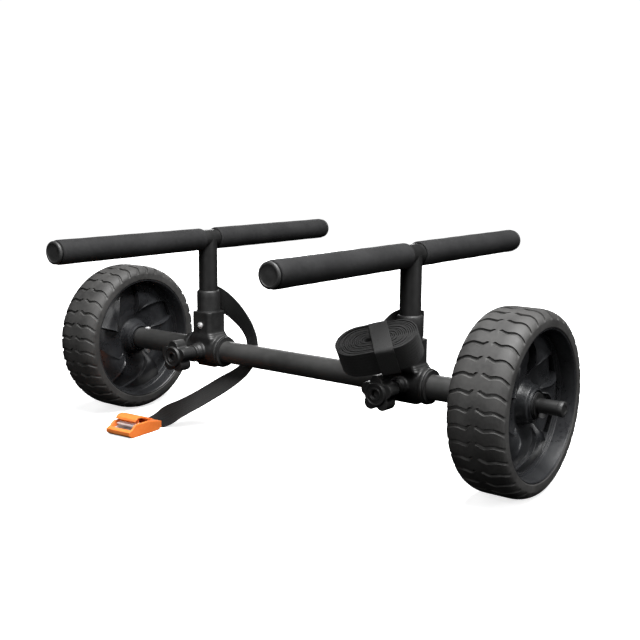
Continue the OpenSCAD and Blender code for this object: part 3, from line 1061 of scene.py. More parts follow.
class Palette:
    """All finishes of the cart, each made into a material once."""

    def __init__(self) -> None:
        """Makes every material."""
        finishes: dict[str, Finish] = {
            # The cross tube takes a lighter copy of the posts' satin black coat: painted sheen from the top light
            # along the tube.
            "cross_tube": Coat(
                "long_tube_coat", (0.026, 0.026, 0.0255), (0.040, 0.0395, 0.039), (0.40, 0.52),
            ),
            "left_buckle_cam": Plated(
                "bright_cam", grey(0.78), (0.92, 0.92, 0.91), (0.30, 0.46), shine=0.1
            ),
            "left_buckle_frame": Plated(
                "bright_frame", (0.66, 0.66, 0.67), grey(0.84), (0.30, 0.46), shine=0.3
            ),
            # The bunk caps take a lighter copy of the black plastic: painted light on their end faces.
            "end_caps": Moulded("cap_plastic", grey(0.022), grey(0.036), (0.42, 0.56)),
            "black_steel": Coat("satin_black_coat", grey(0.007), grey(0.013), (0.36, 0.48)),
            "zinc": Plated("bright_zinc", (0.66, 0.66, 0.67), grey(0.84), (0.26, 0.44)),
            "brass": Plated(
                "turned_brass", (0.60, 0.45, 0.20), (0.78, 0.61, 0.32), (0.2, 0.38)
            ),
            "tyre": Rubber(
                "tyre_rubber", (0.024, 0.0235, 0.023), (0.046, 0.045, 0.0435), (0.56, 0.72)
            ),
            "rim": Moulded(
                "rim_plastic", (0.014, 0.0145, 0.016), (0.026, 0.027, 0.029), (0.24, 0.38),
                grain=1100,
            ),
            "black_plastic": Moulded("nylon_black", grey(0.008), grey(0.017), (0.44, 0.60)),
            "bush": Moulded(
                "bush_nylon", (0.018, 0.018, 0.019), (0.032, 0.032, 0.033), (0.35, 0.5)
            ),
            "foam": FoamSkin(
                "foam_skin", (0.012, 0.012, 0.0125), (0.021, 0.021, 0.0215), (0.66, 0.82)
            ),
            "webbing": Weave("black_webbing", grey(0.003), grey(0.018), (0.82, 0.94)),
            "band": Weave(
                "black_band", grey(0.006), grey(0.022), (0.66, 0.82),
                yarn=0.0011, column=0.0016,
            ),
            "orange": Moulded(
                "orange_cover", (0.88, 0.205, 0.040), (0.96, 0.275, 0.065), (0.34, 0.48),
                depth=0.00005,
            ),
        }
        self.made = {slot: finish.make() for slot, finish in finishes.items()}

    def dress(self, obj: bpy.types.Object, slot: str) -> bpy.types.Object:
        """Gives a new piece its finish and the record's slot for it.

        Args:
            obj: The piece.
            slot: The record's slot name.

        Returns:
            The same piece.
        """
        obj.data.materials.clear()
        obj.data.materials.append(self.made[obj.get("finish", slot)])
        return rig.slot(obj, slot)

    def dress_cad(self) -> None:
        """Gives every CAD node its own finish, or the one of its slot in the record; the cross tube's own finish is a
        lighter copy of the black coat, with painted sheen.
        """
        slots = {s["node"]: s["material_slot"] for s in frame["record"]["subparts"]}
        for name, obj in frame["nodes"].items():
            for holder in obj.material_slots:
                holder.material = self.made.get(name, self.made[slots[name]])


# ------------------------------------------------------------------ sub-assemblies


@dataclass
class SubAssembly:
    """A part of the cart that is built and dressed as one.

    Attributes:
        palette: The finishes.
    """

    palette: Palette

    def add(
        self, obj: bpy.types.Object, body: str, slot: str, *nodes: str
    ) -> bpy.types.Object:
        """Dresses a finished piece, puts it on its body and reports it.

        Args:
            obj: The piece.
            body: The CAD body it rides on.
            slot: The record's slot for its finish.
            nodes: The CAD nodes that it stands for.

        Returns:
            The same piece.
        """
        self.palette.dress(obj, slot)
        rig.ride(obj, body)
        if nodes:
            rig.replaces(obj, *nodes)
        LOG.info("%s rides on %s: %d faces", obj.name, body, len(obj.data.polygons))
        return obj

    def both(
        self, piece: bpy.types.Object, step: float, body: str, slot: str, node: str
    ) -> list[bpy.types.Object]:
        """Adds a finished right-hand piece, and a copy of it on the left.

        Args:
            piece: The right-hand piece, named with its side.
            step: Distance from the right place to the left one, in millimetres.
            body: The body's name without its side.
            slot: The record's slot name.
            node: The name of the CAD node it stands for, without its side.

        Returns:
            The right-hand piece and its copy.
        """
        plain = piece.name.removeprefix("right_")
        copy = Bench.twin(piece, Side.LEFT.node(plain), mm(-step, 0, 0))
        return [
            self.add(piece, Side.RIGHT.node(body), slot, Side.RIGHT.node(node)),
            self.add(copy, Side.LEFT.node(body), slot, Side.LEFT.node(node)),
        ]

    def build(self) -> None:
        """Builds every piece of the sub-assembly."""
        raise NotImplementedError


@dataclass
class WheelPart(SubAssembly):
    """A part of the wheels, modelled on one wheel and copied to the other.

    Attributes:
        side: Which wheel it is modelled on.
        track: Distance between the wheels' middle planes.
    """

    side: Side = Side.RIGHT
    track: float = 760.0

    @property
    def middle_x(self) -> float:
        """Where the wheel's middle plane is along the axle, in millimetres."""
        return self.side.sign * self.track / 2

    def turned(self, profile: Sequence[Pair], steps: int) -> bpy.types.Object:
        """Turns a profile round the axle.

        Args:
            profile: Pairs of distance from the wheel's middle plane and radius.
            steps: How many steps go round.

        Returns:
            The turned object.
        """
        return Bench.turned(profile, mm(self.middle_x, 0, AXLE_Z), Axis.X, steps)

    @staticmethod
    def mirrored(face: Sequence[Pair]) -> list[Pair]:
        """A closed profile from the outline of one face and its mirror image."""
        return [*face, *[(-x, r) for x, r in reversed(face)], face[0]]


@dataclass
class Tyre(WheelPart):
    """An airless tyre with waved grooves round its tread.

    Attributes:
        radius: Outer radius.
        half: Half of its width.
        bead: Radius of its seat on the rim.
        shoulder_w: Axial size of the round shoulder.
        shoulder_h: Radial size of the round shoulder.
        pitches: How many grooves go round.
        depth: Depth of a groove.
        phase: Where the grooves start, in degrees.
    """

    radius: float = 127.0
    half: float = 41.0
    bead: float = 103.6
    shoulder_w: float = 24.0
    shoulder_h: float = 14.0
    pitches: int = 36
    depth: float = 2.6
    phase: float = 2.4

    WAVE = (
        (-41, 7.5), (-36, 4.4), (-30, 2.6), (-24, 0.4), (-19, 0.0), (-14, 0.8), (-9, 1.6),
        (-6, 1.4), (-3.3, -0.8), (0.2, -0.6), (1.6, 0.6), (3.4, 1.8), (5.0, 1.0),
        (7.8, -1.7), (12.5, 0.0), (17.8, 1.5), (24, 0.0), (29.6, -0.3), (34, 0.9),
        (38, 3.2), (41, 6.5),
    )
    WIDTH = (
        (-41, 6.5), (-30, 6.0), (-20, 5.6), (-14, 6.0), (-8.6, 6.2), (-4.6, 5.4),
        (-1.5, 3.2), (0.2, 1.2), (5.0, 1.4), (6.3, 3.6), (7.8, 5.4), (12, 5.8), (18, 5.8),
        (24, 6.2), (30, 5.5), (36, 6.2), (41, 6.6),
    )
    ROWS = 8
    CUT_ROWS = (1, 2, 3)
    SHOULDER_STOPS = (0, 3, 6, 10, 15, 20, 26, 32, 39, 46, 54, 62, 70, 78, 85, 90)
    TREAD_FROM = 15.2
    TREAD_STEP = 0.95
    TREAD_ROWS = 33
    RIB_AT = 2.5
    PLAIN_FOOT = 6.0

    def shoulder(self, degrees: float) -> Pair:
        """A point of the shoulder, from its foot at 0 to the tread at 90 degrees."""
        a = math.radians(degrees)
        return (
            self.half - self.shoulder_w * (1 - math.cos(a)),
            self.radius - self.shoulder_h * (1 - math.sin(a)),
        )

    def profile(self) -> list[Pair]:
        """The tyre's closed section, as distance from its middle plane and radius."""
        curve = [self.shoulder(a) for a in self.SHOULDER_STOPS]
        crown = [
            (self.TREAD_FROM - self.TREAD_STEP * i, self.radius)
            for i in range(self.TREAD_ROWS)
        ]
        half, bead = self.half, self.bead
        wall = [
            (half - 1.2, bead), (half - 0.2, bead + 1.2), (half, bead + 3.4), (half, 110.6),
        ]
        right = [*wall, *curve]
        left = [(-x, r) for x, r in reversed(right)]
        return [*right, *crown, *left, right[0]]

    def groove(self, x: float, radius: float) -> float:
        """How deep the grooves are at a place of the section.

        Args:
            x: Distance from the middle plane.
            radius: The section's radius there.

        Returns:
            The depth, in millimetres.
        """
        beside_rib = ramp(abs(x - self.RIB_AT), 1.6, 5.6)
        return self.depth * beside_rib * ramp(radius, 113.2, 119.0)

    def shape(self, obj: bpy.types.Object) -> None:
        """Moves the rows of the turned tyre so that they follow and cut the grooves.

        Args:
            obj: The turned tyre.
        """
        count = self.pitches * self.ROWS
        pitch = math.tau / self.pitches
        for vertex in obj.data.vertices:
            world = obj.matrix_world @ vertex.co
            x, y, z = world.x / MM - self.middle_x, world.y / MM, world.z / MM - AXLE_Z
            radius = math.hypot(y, z)
            if radius < self.bead + self.PLAIN_FOOT:
                continue
            row = round(math.atan2(z, y) / math.tau * count) % count
            width = flowing(self.WIDTH, x)
            land = pitch * self.radius - width
            fractions = (0, 0.55, width * 0.55, width - 1.7, width)
            step = row % self.ROWS
            if step < 5:
                arc = fractions[step]
            else:
                arc = width + land * (step - 4) / 4
            hold = ramp(radius, 110.0, 114.0)
            even = pitch * self.radius * step / self.ROWS
            arc = even + (arc + flowing(self.WAVE, x) - even) * hold
            angle = (row // self.ROWS) * pitch + arc / self.radius
            angle += math.radians(self.phase)
            cut = self.groove(x, radius) if step in self.CUT_ROWS else 0.0
            if step == self.CUT_ROWS[-1]:
                cut *= 0.8
            lean = ramp(abs(x), self.half - self.shoulder_w, self.half)
            radius -= cut * (1 - 0.35 * lean)
            x -= math.copysign(cut * 0.5 * lean, x)
            vertex.co = obj.matrix_world.inverted() @ mm(
                x + self.middle_x,
                radius * math.cos(angle),
                radius * math.sin(angle) + AXLE_Z,
            )
        obj.data.update()

    def build(self) -> None:
        """Builds the tyre."""
        tyre = self.turned(self.profile(), self.pitches * self.ROWS)
        self.shape(tyre)
        Bench.settle(tyre, self.side.node("tread_tyre"), 28)
        self.both(tyre, self.track, "wheel", "tyre", "tyre")


@dataclass
class Rim(WheelPart):
    """A deep rim with five swept vanes on each face.

    Attributes:
        seat: Radius of the tyre's seat.
        half: Half of the rim's width.
        vanes: How many vanes there are.
        crest: Height of the vanes' crest above the middle plane.
        rows: Rows of the face mesh in one vane.
    """

    seat: float = 104.0
    half: float = 38.0
    vanes: int = 5
    crest: float = 22.0
    rows: int = 26

    LIP_AT = 89.0
    SPLIT = 14
    SWEEP = ((20, 58), (44, 62), (52, 58), (66, 41), (80, 28), (92, 18), (98, 13))
    RADII = (
        24, 28, 32, 36, 40, 44, 48, 52, 56, 60, 64, 68, 72, 76, 80, 84, 88, 91, 93.5, 96,
        98.2,
    )

    def barrel(self) -> bpy.types.Object:
        """The barrel, with its rolled edges and the stepped ring at its foot."""
        half, seat = self.half, self.seat
        face = [
            (half, seat), (half + 1.4, seat - 0.8), (half + 1.6, seat - 2.2),
            (half + 0.4, seat - 3.4), (half - 3, seat - 3.9), (30, 99.4), (22, 98.8),
            (19.2, 98.6), (18.6, 97.9), (18.4, 96.4), (16.4, 96.0), (16.0, 94.6),
            (13.8, 94.2), (13.2, 92.8), (7, 92.6),
        ]
        return self.turned(self.mirrored(face), 128)

    def hub(self) -> bpy.types.Object:
        """The hub, with a double ring round its bore on both faces."""
        face = [
            (27.2, 10.6), (27.2, 19.0), (28.6, 19.4), (29.0, 20.2), (28.6, 21.0),
            (26.2, 21.6), (25.6, 22.6), (25.6, 24.4), (25.0, 25.6), (23.0, 26.4),
            (17.0, 27.6), (11.5, 30.5), (9.5, 36.0),
        ]
        return self.turned(self.mirrored(face), 72)

    def height(self, radius: float, row: int) -> float:
        """How far a face stands out from the wheel's middle plane.

        Args:
            radius: Distance from the axle.
            row: The row within a vane, from its lip.

        Returns:
            The height, in millimetres.
        """
        inner_drop = 11.5 * (1 - ramp(radius, 30, 60))
        dish = self.crest - inner_drop - 10.5 * ramp(radius, 66, 97)
        reach = ramp(radius, 38, 54)
        if row <= self.SPLIT:
            share = row / self.SPLIT
            step = -7.5 + 3.2 * share if row else 3.4
        else:
            share = (row - self.SPLIT - 1) / (self.rows - self.SPLIT - 1)
            edge = 1.4 * (1 - ramp(share, 0, 0.16))
            rise = 1.6 * ramp(share, 0.84, 1)
            step = 0.2 + 1.4 * share + edge + rise
        return dish + step * reach

    def angle(self, radius: float, row: int) -> float:
        """Where a row of the face runs, in degrees from the vane's lip.

        Args:
            radius: Distance from the axle.
            row: The row within a vane.

        Returns:
            The angle.
        """
        full = 360 / self.vanes
        split = between(self.SWEEP, radius)
        gap = math.degrees(1.1 / max(radius, 20))
        if row == 0:
            return 0.0
        if row <= self.SPLIT:
            return gap + (split - gap) * (row - 1) / (self.SPLIT - 1)
        share = (row - self.SPLIT - 1) / (self.rows - self.SPLIT - 1)
        return split + gap * 0.8 + (full - split - gap * 0.8) * share

    def face(self, turned_round: bool) -> bpy.types.Object:
        """One face of the disc, with its vanes.

        Args:
            turned_round: Whether it is the face towards -X.

        Returns:
            The face, as an open shell whose edges run into the barrel and the hub.
        """
        count = self.vanes * (self.rows + 1)
        shell = self.turned([(0.0, r) for r in self.RADII], count)
        flip = -1 if turned_round else 1
        for vertex in shell.data.vertices:
            world = shell.matrix_world @ vertex.co
            y, z = world.y / MM, world.z / MM - AXLE_Z
            radius = math.hypot(y, z)
            number = round(math.atan2(z, y) / math.tau * count) % count
            vane, row = divmod(number, self.rows + 1)
            before_lip = 0.25 if row == self.rows else 0
            turn = math.radians(
                self.LIP_AT + 360 / self.vanes * vane + self.angle(radius, row) - before_lip
            )
            vertex.co = shell.matrix_world.inverted() @ mm(
                self.middle_x + flip * self.height(radius, row),
                flip * radius * math.cos(turn),
                radius * math.sin(turn) + AXLE_Z,
            )
        shell.data.update()
        Bench.pick(shell, lambda centre, normal: normal.x * flip < 0)
        bpy.ops.mesh.flip_normals()
        Bench.clear()
        return shell

    def build(self) -> None:
        """Builds the rim."""
        rim = Bench.join(self.barrel(), self.hub(), self.face(False), self.face(True))
        Bench.settle(rim, self.side.node("vaned_rim"), 32)
        self.both(rim, self.track, "wheel", "rim", "rim")


@dataclass
class StubEnds(SubAssembly):
    """The caps on the ends of the two axle stubs.

    Attributes:
        end: Distance of a cap's face from the cart's middle.
        radius: Radius of the stub.
    """

    end: float = 448.0
    radius: float = 10.0

    def build(self) -> None:
        """Builds both caps as one piece."""
        end, radius = self.end, self.radius
        profile = [
            (end - 12, 0.0), (end - 12, 7.6), (end - 7.2, 7.8), (end - 7.2, radius + 0.35),
            (end - 6.6, radius + 0.6), (end - 1.6, radius + 0.6), (end - 0.5, radius + 0.1),
            (end, radius - 1.2), (end, 6.0), (end - 0.7, 5.2), (end - 0.9, 0.0),
        ]
        caps = Bench.two_ended(profile, mm(0, 0, AXLE_Z), Axis.X, 48)
        Bench.settle(caps, "stub_end_caps")
        self.add(caps, "axle", "black_plastic", "stub_caps")


@dataclass
class Stand(SubAssembly):
    """The bunk stands: socket, sleeve, knob, foam sleeves and end caps.

    Attributes:
        side: Which stand is modelled first.
        block_top: Height of the socket's block above the floor.
        sleeve_top: Height of the sleeve above the floor.
        bunk_z: Height of the bunk tube's axis.
        foam_r: Radius of the foam.
        tube_r: Radius of the bunk tube.
        foam_from: Where a foam sleeve starts, from the post.
        foam_to: Where it ends.
        tube_end: Where the bunk tube ends, from the post.
    """

    side: Side = Side.RIGHT
    block_top: float = 192.0
    sleeve_top: float = 227.0
    bunk_z: float = 312.0
    foam_r: float = 17.75
    tube_r: float = 15.0
    foam_from: float = 17.0
    foam_to: float = 305.0
    tube_end: float = 307.0

    @property
    def step(self) -> float:
        """Distance between the two posts."""
        return Side.RIGHT.post_x - Side.LEFT.post_x

    def at(self, y: float, z: float) -> Vector:
        """A point of the stand's own plane, in metres."""
        return mm(self.side.post_x, y, z)

    def socket(self) -> None:
        """The T-socket, with moulded fillets and a lip round its mouth."""
        body = Bench.soft_copy(self.side.node("t_socket"), 1.0, 13)
        lip = Bench.turned(
            [
                (0, 17.2), (1.4, 17.4), (1.9, 18.4), (1.4, 19.3), (-0.6, 19.6),
                (-0.8, 17.2), (0, 17.2),
            ],
            self.at(0, self.block_top),
            Axis.Z,
            64,
        )
        body = Bench.settle(Bench.join(body, lip), self.side.node("clamp_socket"), 40)
        self.both(body, self.step, "stand", "black_plastic", "t_socket")

    def sleeve(self) -> None:
        """The sleeve round the post, with a chamfered rim."""
        foot, step, top = 140.0, self.block_top, self.sleeve_top
        bore, neck = 15.55, 16.95
        sleeve = Bench.turned(
            [
                (foot, bore), (foot, neck), (step, neck), (step + 0.4, 18.2),
                (step + 1.2, 18.9), (top - 12, 19.0), (top - 3.2, 18.9), (top - 1.2, 18.2),
                (top - 0.2, 17.0), (top, 15.9), (top - 0.3, bore), (foot, bore),
            ],
            self.at(0, 0),
            Axis.Z,
            72,
        )
        Bench.settle(sleeve, self.side.node("post_sleeve"))
        self.both(sleeve, self.step, "stand", "black_plastic", "sleeve")

    def knob(self) -> None:
        """The star knob, with the ring and recess of its face."""
        body = Bench.soft_copy(self.side.node("knob"), 0.7, 8)
        ring = Bench.turned(
            [
                (-83.0, 17.2), (-86.6, 16.8), (-88.0, 16.0), (-88.4, 14.9), (-88.0, 13.7),
                (-86.6, 12.9), (-86.4, 9.6), (-87.4, 8.9), (-87.6, 7.9), (-86.6, 7.0),
                (-80.5, 6.6), (-80.0, 5.0), (-79.4, 0.0),
            ],
            self.at(0, AXLE_Z),
            Axis.Y,
            56,
        )
        body = Bench.settle(Bench.join(body, ring), self.side.node("star_knob"), 40)
        self.both(body, self.step, "screw", "black_plastic", "knob")

    def foam(self) -> None:
        """The foam sleeves, slightly uneven along their length and round at their ends."""
        r0, r1, a, b = self.tube_r + 0.05, self.foam_r, self.foam_from, self.foam_to
        ends = [(0.0, -1.9), (0.5, -0.9), (1.4, -0.25), (3.0, 0.0)]
        profile = [(a + 0.6, r0), *[(a + d, r1 + e) for d, e in ends]]
        count = 40
        for i in range(1, count):
            y = a + 3 + (b - a - 6) * i / count
            swell = 0.10 * math.sin(y * 0.11 + 1.3) + 0.07 * math.sin(y * 0.043 + 0.4)
            profile.append((y, r1 + swell))
        profile += [(b - d, r1 + e) for d, e in reversed(ends)]
        profile += [(b - 0.6, r0), (a + 0.6, r0)]
        post = self.at(0, self.bunk_z)
        front = Bench.turned([(-y, r) for y, r in profile], post, Axis.Y, 64)
        Bench.settle(front, self.side.node("foam_sleeve_front"), 50)
        rear = Bench.twin(front, self.side.node("foam_sleeve_rear"), Vector(), post)
        for sleeve, end in ((front, "foam_front"), (rear, "foam_rear")):
            for piece in self.both(sleeve, self.step, "stand", "foam", end):
                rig.padded(piece, fill=0.95)

    def caps(self) -> None:
        """The end caps of the bunk tube, with a raised ring on each face."""
        end = self.tube_end
        profile = [
            (end - 14, 0.0), (end - 14, 12.6), (end, 12.9), (end, 15.9), (end + 0.5, 16.5),
            (end + 2.2, 16.6), (end + 3.4, 16.0), (end + 4.0, 14.9), (end + 4.0, 13.2),
            (end + 3.2, 12.6), (end + 2.9, 11.6), (end + 3.2, 6.0), (end + 3.4, 0.0),
        ]
        caps = Bench.two_ended(profile, self.at(0, self.bunk_z), Axis.Y, 64)
        Bench.settle(caps, self.side.node("bunk_caps"))
        # The caps wear the lighter copy of the black plastic, with painted light on their end faces.
        caps["finish"] = "end_caps"
        self.both(caps, self.step, "stand", "black_plastic", "end_caps")

    def build(self) -> None:
        """Builds the stands' pieces."""
        self.socket()
        self.sleeve()
        self.knob()
        self.foam()
        self.caps()


@dataclass
class LooseStrap(SubAssembly):
    """The strap that hangs from the left post to the buckle on the floor.

    Attributes:
        width: Width of the webbing.
        thickness: Thickness of the webbing.
        route: Its centre line, with the direction of its width at each point.
    """

    width: float = 38.0
    thickness: float = 1.8
    route: Sequence[tuple[Triple, Triple]] = (
        ((-194, 21, 214), (0, 0, 1)), ((-184, 21, 212), (0.1, 0, 1)),
        ((-172, 22, 207), (0.3, -0.05, 1)), ((-156, 26, 196), (0.45, -0.15, 0.85)),
        ((-141, 30, 182), (0.62, -0.25, 0.72)), ((-128, 32, 167), (0.78, -0.3, 0.5)),
        ((-119, 33, 150), (0.9, -0.35, 0.25)), ((-115, 31, 133), (0.93, -0.37, 0.05)),
        ((-114, 24, 114), (0.93, -0.4, 0)), ((-118, 11, 98), (0.9, -0.42, -0.15)),
        ((-128, -1, 86), (0.82, -0.45, -0.3)), ((-143, -12, 74), (0.78, -0.43, -0.42)),
        ((-159, -22, 62), (0.78, -0.43, -0.42)), ((-175, -33, 50), (0.8, -0.4, -0.4)),
        ((-191, -44, 39), (0.85, -0.35, -0.35)), ((-208, -54, 28), (0.92, -0.2, -0.25)),
        ((-224, -60, 18), (0.97, -0.05, -0.15)), ((-236, -65, 12), (1, 0.03, -0.05)),
        ((-242, -71, 9), (1, 0.07, 0)), ((-243.5, -78, 8), (1, 0.07, 0)),
        ((-243, -84, 8), (1, 0.07, 0)),
    )

    def build(self) -> None:
        path, across = strap_route(self.route, 6)
        ribbon = Ribbon(self.width * MM, self.thickness * MM, 8)
        strap = ribbon.sweep("left_loose_strap", path, across)
        self.add(strap, "left_stand", "webbing", "left_strap")
        length = run_of(path)
        LOG.info("left strap is %.3f m long", length)
        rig.cord(
            strap,
            exit=path[0],
            length=round(length, 3),
            diameter=self.width * MM,
            far_end="fitting",
            stiffness="limp",
            lay="hanging",
            path=path,
            with_pieces=[frame["nodes"]["left_cam_pin"]],
        )


@dataclass
class RolledStrap(SubAssembly):
    """The other strap, wound flat and held by an elastic band.

    Attributes:
        width: Width of the webbing.
        thickness: Thickness of the webbing.
        pitch: Distance from one turn to the next.
        length: Overall length of the roll.
        depth: Overall depth of the roll.
        core: Width of the slot at its middle.
        core_straight: Half of the slot's straight length.
        turn: How it is turned, in degrees.
        lead: The strap's run from the post to the roll, as in LooseStrap.
        band_w: Width of the band.
        band_t: Thickness of the band.
        band_at: How far the band is from the middle of the roll.
        band_lean: How far it leans along the roll, for each unit across.
    """

    width: float = 38.0
    thickness: float = 1.6
    pitch: float = 1.95
    length: float = 120.0
    depth: float = 68.0
    core: float = 5.0
    core_straight: float = 13.0
    turn: Triple = (27, -13, 24)
    lead: Sequence[tuple[Triple, Triple]] = (
        ((220, 21, 212), (0, 0, 1)), ((210, 21, 212), (0, 0, 1)),
        ((199, 21.5, 212), (0, 0, 1)), ((188.5, 17, 212), (0, 0.1, 1)),
        ((186.5, 7, 211.5), (0, 0.15, 1)), ((186, -5, 209.5), (0, 0.3, 1)),
        ((186, -17, 205), (0, 0.45, 0.9)), ((187, -28, 200), (0, 0.5, 0.87)),
    )
    band_w: float = 26.0
    band_t: float = 1.4
    band_at: float = 6.0
    band_lean: float = 0.2

    STEPS = 56
    JOIN_STEPS = 3
    RIPPLE = 0.0006
    OUTER_RISE = 0.0014

    def frame_matrix(self) -> Matrix:
        """The roll's own frame: its long side along X, its axis along Z."""
        spin = Euler([math.radians(a) for a in self.turn], "XYZ").to_matrix().to_4x4()
        low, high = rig.box("right_strap_roll")
        return Matrix.Translation((Vector(low) + Vector(high)) / 2) @ spin

    def winding(self, start: float) -> list[Vector]:
        """The centre line of the wound strap, from the outside in, in the roll's frame.

        Args:
            start: Where on the outer turn it starts, as a share of the turn.

        Returns:
            Its points, in metres.
        """
        inner, outer = self.core / 2, self.depth / 2 - self.thickness / 2 - 0.2
        long, short = (self.length - self.depth) / 2, self.core_straight
        points = []
        for i in range(int((outer - inner) / self.pitch) * self.STEPS):
            turns = i / self.STEPS
            radius = outer - self.pitch * turns
            straight = short + (long - short) * (radius - inner) / (outer - inner)
            points.append(self.stadium((start + turns) % 1.0, radius, straight))
        return points

    @staticmethod
    def stadium(share: float, radius: float, straight: float) -> Vector:
        """A point of a shape with two straight sides and round ends.

        Args:
            share: How far round it is, from 0 to 1.
            radius: Radius of the round ends.
            straight: Half of a straight side.

        Returns:
            The point, in metres.
        """
        bend, side = math.pi * radius, 2 * straight
        run = share * 2 * (bend + side)
        if run < side:
            return mm(straight - run, radius, 0)
        run -= side
        if run < bend:
            a = math.pi / 2 + run / radius
            return mm(-straight + radius * math.cos(a), radius * math.sin(a), 0)
        run -= bend
        if run < side:
            return mm(-straight + run, -radius, 0)
        a = -math.pi / 2 + (run - side) / radius
        return mm(straight + radius * math.cos(a), radius * math.sin(a), 0)

    def roll(self) -> bpy.types.Object:
        """The wound strap and its lead, as one strip."""
        home = self.frame_matrix()
        lead, lead_across = strap_route(self.lead, 4)
        wound = [home @ p for p in self.winding(0.0)]
        nearest = min(range(self.STEPS), key=lambda i: (wound[i] - lead[-1]).length)
        local = self.winding((nearest + self.JOIN_STEPS) / self.STEPS)
        for i, point in enumerate(local):
            outer_turns = i < 2 * self.STEPS
            point.z += self.RIPPLE * math.sin(i * 0.045) + self.OUTER_RISE * outer_turns
        wound = [home @ p for p in local]
        axis = (home.to_3x3() @ Vector((0, 0, 1))).normalized()
        path = [*lead[:-1], *wound]
        across = []
        for i in range(len(path)):
            if i < len(lead) - 1:
                share = ramp(i, len(lead) - 12, len(lead) - 1)
                across.append(lead_across[i].normalized().lerp(axis, share))
            else:
                across.append(axis.copy())
        self.flat_length = run_of(path)
        ribbon = Ribbon(self.width * MM, self.thickness * MM, 4)
        return ribbon.sweep("right_wound_strap", path, across)

    def band(self) -> bpy.types.Object:
        """The band: a closed loop with soft corners round the roll."""
        a = self.depth / 2 + self.band_t / 2 + 0.1
        b = self.width / 2 + self.band_t / 2 + 1.6
        corner, corner_steps, step, sag_depth = 4.0, 6, 0.004, 0.0009
        path = []
        for quarter, (way_y, way_z) in enumerate(((1, 1), (-1, 1), (-1, -1), (1, -1))):
            for k in range(corner_steps + 1):
                angle = math.radians(90 * (quarter + k / corner_steps))
                y = way_y * (a - corner) + corner * math.cos(angle)
                path.append(mm(0, y, way_z * (b - corner) + corner * math.sin(angle)))
        dense = []
        for i, here in enumerate(path):
            there = path[(i + 1) % len(path)]
            steps = max(1, int((there - here).length / step))
            dense += [here.lerp(there, k / steps) for k in range(steps)]
        for point in dense:
            sag = sag_depth * (1 - (point.y / (a * MM)) ** 2)
            point.z -= math.copysign(max(0.0, sag), point.z)
            point.x = self.band_at * MM - self.band_lean * point.y
        home = self.frame_matrix()
        along = (home.to_3x3() @ Vector((1, 0, 0))).normalized()
        ribbon = Ribbon(self.band_w * MM, self.band_t * MM)
        path = [home @ p for p in dense]
        return ribbon.sweep("right_elastic_band", path, [along] * len(path), loop=True)

    def build(self) -> None:
        roll = self.roll()
        self.add(roll, "right_stand", "webbing", "right_strap_lead", "right_strap_roll")
        band = self.add(self.band(), "right_stand", "band", "right_roll_band")
        LOG.info("right strap is %.3f m long", self.flat_length)
        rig.sheet(
            roll,
            flat=(self.width * MM, round(self.flat_length, 3)),
            held="folded",
            rests_on=["right_clamp_socket", "right_star_knob"],
            with_pieces=[band],
        )


@dataclass
class Buckle(SubAssembly):
    """The orange cover and thumb lever of the cam buckle."""

    def build(self) -> None:
        """Builds the cover and the lever, as soft copies of their solids."""
        boot = Bench.soft_copy("left_buckle_boot", 0.55, 6)
        Bench.settle(boot, "buckle_cover", 40)
        self.add(boot, "left_stand", "orange", "left_buckle_boot")
        lever = Bench.soft_copy("left_buckle_lever", 0.5, 6)
        Bench.settle(lever, "buckle_thumb_lever", 40)
        self.add(lever, "left_buckle_lever", "orange", "left_buckle_lever")


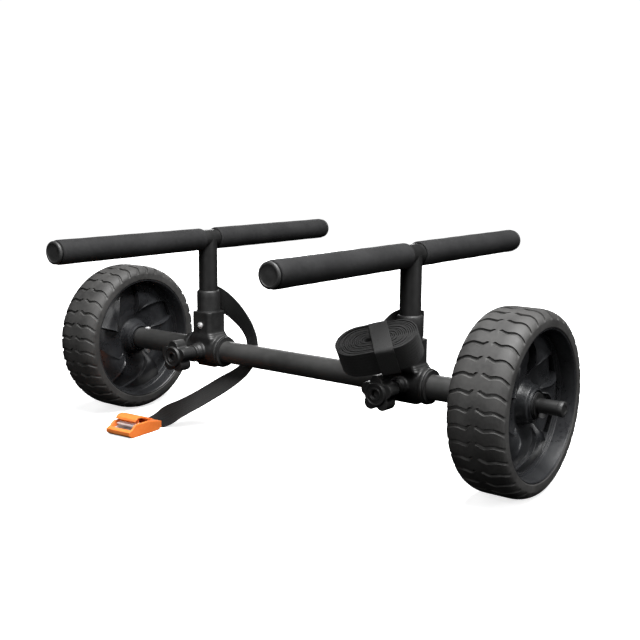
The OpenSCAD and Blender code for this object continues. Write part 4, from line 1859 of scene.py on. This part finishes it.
@dataclass
class Room:
    """Floor, lights and camera.

    Attributes:
        eye: Where the camera stands, in metres.
        yaw: Its turn about Z, in degrees.
        pitch: How far it looks down, in degrees.
        roll: Its roll, in degrees.
        lens: Its focal length, in millimetres.
        sensor: Width of its sensor, in millimetres.
        sky: Strength of the white backdrop.
        floor_size: Length of the floor's sides, in metres.
        floor_glow: How brightly the floor shines by itself.
        aim: Where the soft boxes point, in metres.
        boxes: The soft boxes, each with name, place, size in metres and power in watts.
    """

    eye: Triple = (0.9427, -1.1746, 0.4527)
    yaw: float = 37.26
    pitch: float = 9.66
    roll: float = 0.39
    lens: float = 55.31
    sensor: float = 36.0
    sky: float = 1.05
    floor_size: float = 6.0
    floor_glow: float = 0.72
    aim: Triple = (0, 0, 0.15)
    boxes: Sequence[tuple[str, Triple, float, float]] = (
        ("top_box", (0.8, -0.2, 2.5), 1.8, 205.0),
        ("front_box", (0.5, -2.4, 1.3), 1.3, 25.0),
        ("side_box", (2.5, 0.3, 1.1), 1.2, 22.0),
        ("rear_box", (-1.9, 2.4, 0.8), 1.3, 34.0),
    )

    def camera(self) -> None:
        """Adds the camera and makes it the scene's."""
        data = bpy.data.cameras.new("camera")
        data.lens, data.sensor_width, data.clip_start = self.lens, self.sensor, 0.02
        obj = bpy.data.objects.new("camera", data)
        bpy.context.scene.collection.objects.link(obj)
        spin = (
            Matrix.Rotation(math.radians(self.yaw), 4, "Z")
            @ Matrix.Rotation(math.radians(90 - self.pitch), 4, "X")
            @ Matrix.Rotation(math.radians(self.roll), 4, "Z")
        )
        obj.matrix_world = Matrix.Translation(self.eye) @ spin
        bpy.context.scene.camera = obj

    def floor(self) -> None:
        """Adds a plain pale floor that throws no light back on the cart."""
        Bench.clear()
        bpy.ops.mesh.primitive_plane_add(size=self.floor_size, location=(0, 0, -0.0002))
        floor = bpy.context.active_object
        floor.name = "floor"
        studio = Studio("pale_floor")
        studio.fix(
            Base_Color=(0.93, 0.93, 0.93, 1),
            Roughness=0.9,
            Specular_IOR_Level=0.1,
            Emission_Color=(1, 1, 1, 1),
            Emission_Strength=self.floor_glow,
        )
        floor.data.materials.append(studio.material)
        floor.visible_diffuse = floor.visible_glossy = False
        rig.stage(floor)

    def lights(self) -> None:
        """Adds a white backdrop that only the camera sees, and the soft boxes."""
        world = bpy.data.worlds.new("studio")
        bpy.context.scene.world = world
        world.use_nodes = True
        sky = world.node_tree.nodes["Background"]
        sky.inputs["Color"].default_value = (1, 1, 1, 1)
        sky.inputs["Strength"].default_value = self.sky
        world.cycles_visibility.diffuse = world.cycles_visibility.glossy = False
        for name, place, size, power in self.boxes:
            data = bpy.data.lights.new(name, "AREA")
            data.size, data.energy = size, power
            lamp = bpy.data.objects.new(name, data)
            bpy.context.scene.collection.objects.link(lamp)
            lamp.location = place
            look = Vector(self.aim) - Vector(place)
            lamp.rotation_mode = "QUATERNION"
            lamp.rotation_quaternion = look.to_track_quat("-Z", "Y")
        view = bpy.context.scene.view_settings
        view.view_transform, view.look = "Standard", "None"


def main() -> None:
    """Builds the cart's looks in order and writes the sizes."""
    logging.basicConfig(level=logging.INFO, format="%(name)s: %(message)s")
    room = Room()
    room.camera()
    palette = Palette()
    palette.dress_cad()
    parts: list[SubAssembly] = [
        LooseStrap(palette), RolledStrap(palette), Buckle(palette), StubEnds(palette),
        Tyre(palette), Rim(palette), Stand(palette),
    ]
    for part in parts:
        LOG.info("building %s", type(part).__name__)
        part.build()
    room.floor()
    room.lights()
    Bench.clear()
    sizes = {"cad": [list(c) for c in CAD_BOX], "visual": [list(c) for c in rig.bounds()]}
    with open("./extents.json", "w") as out:
        json.dump(sizes, out)


if __name__ == "__main__":
    main()
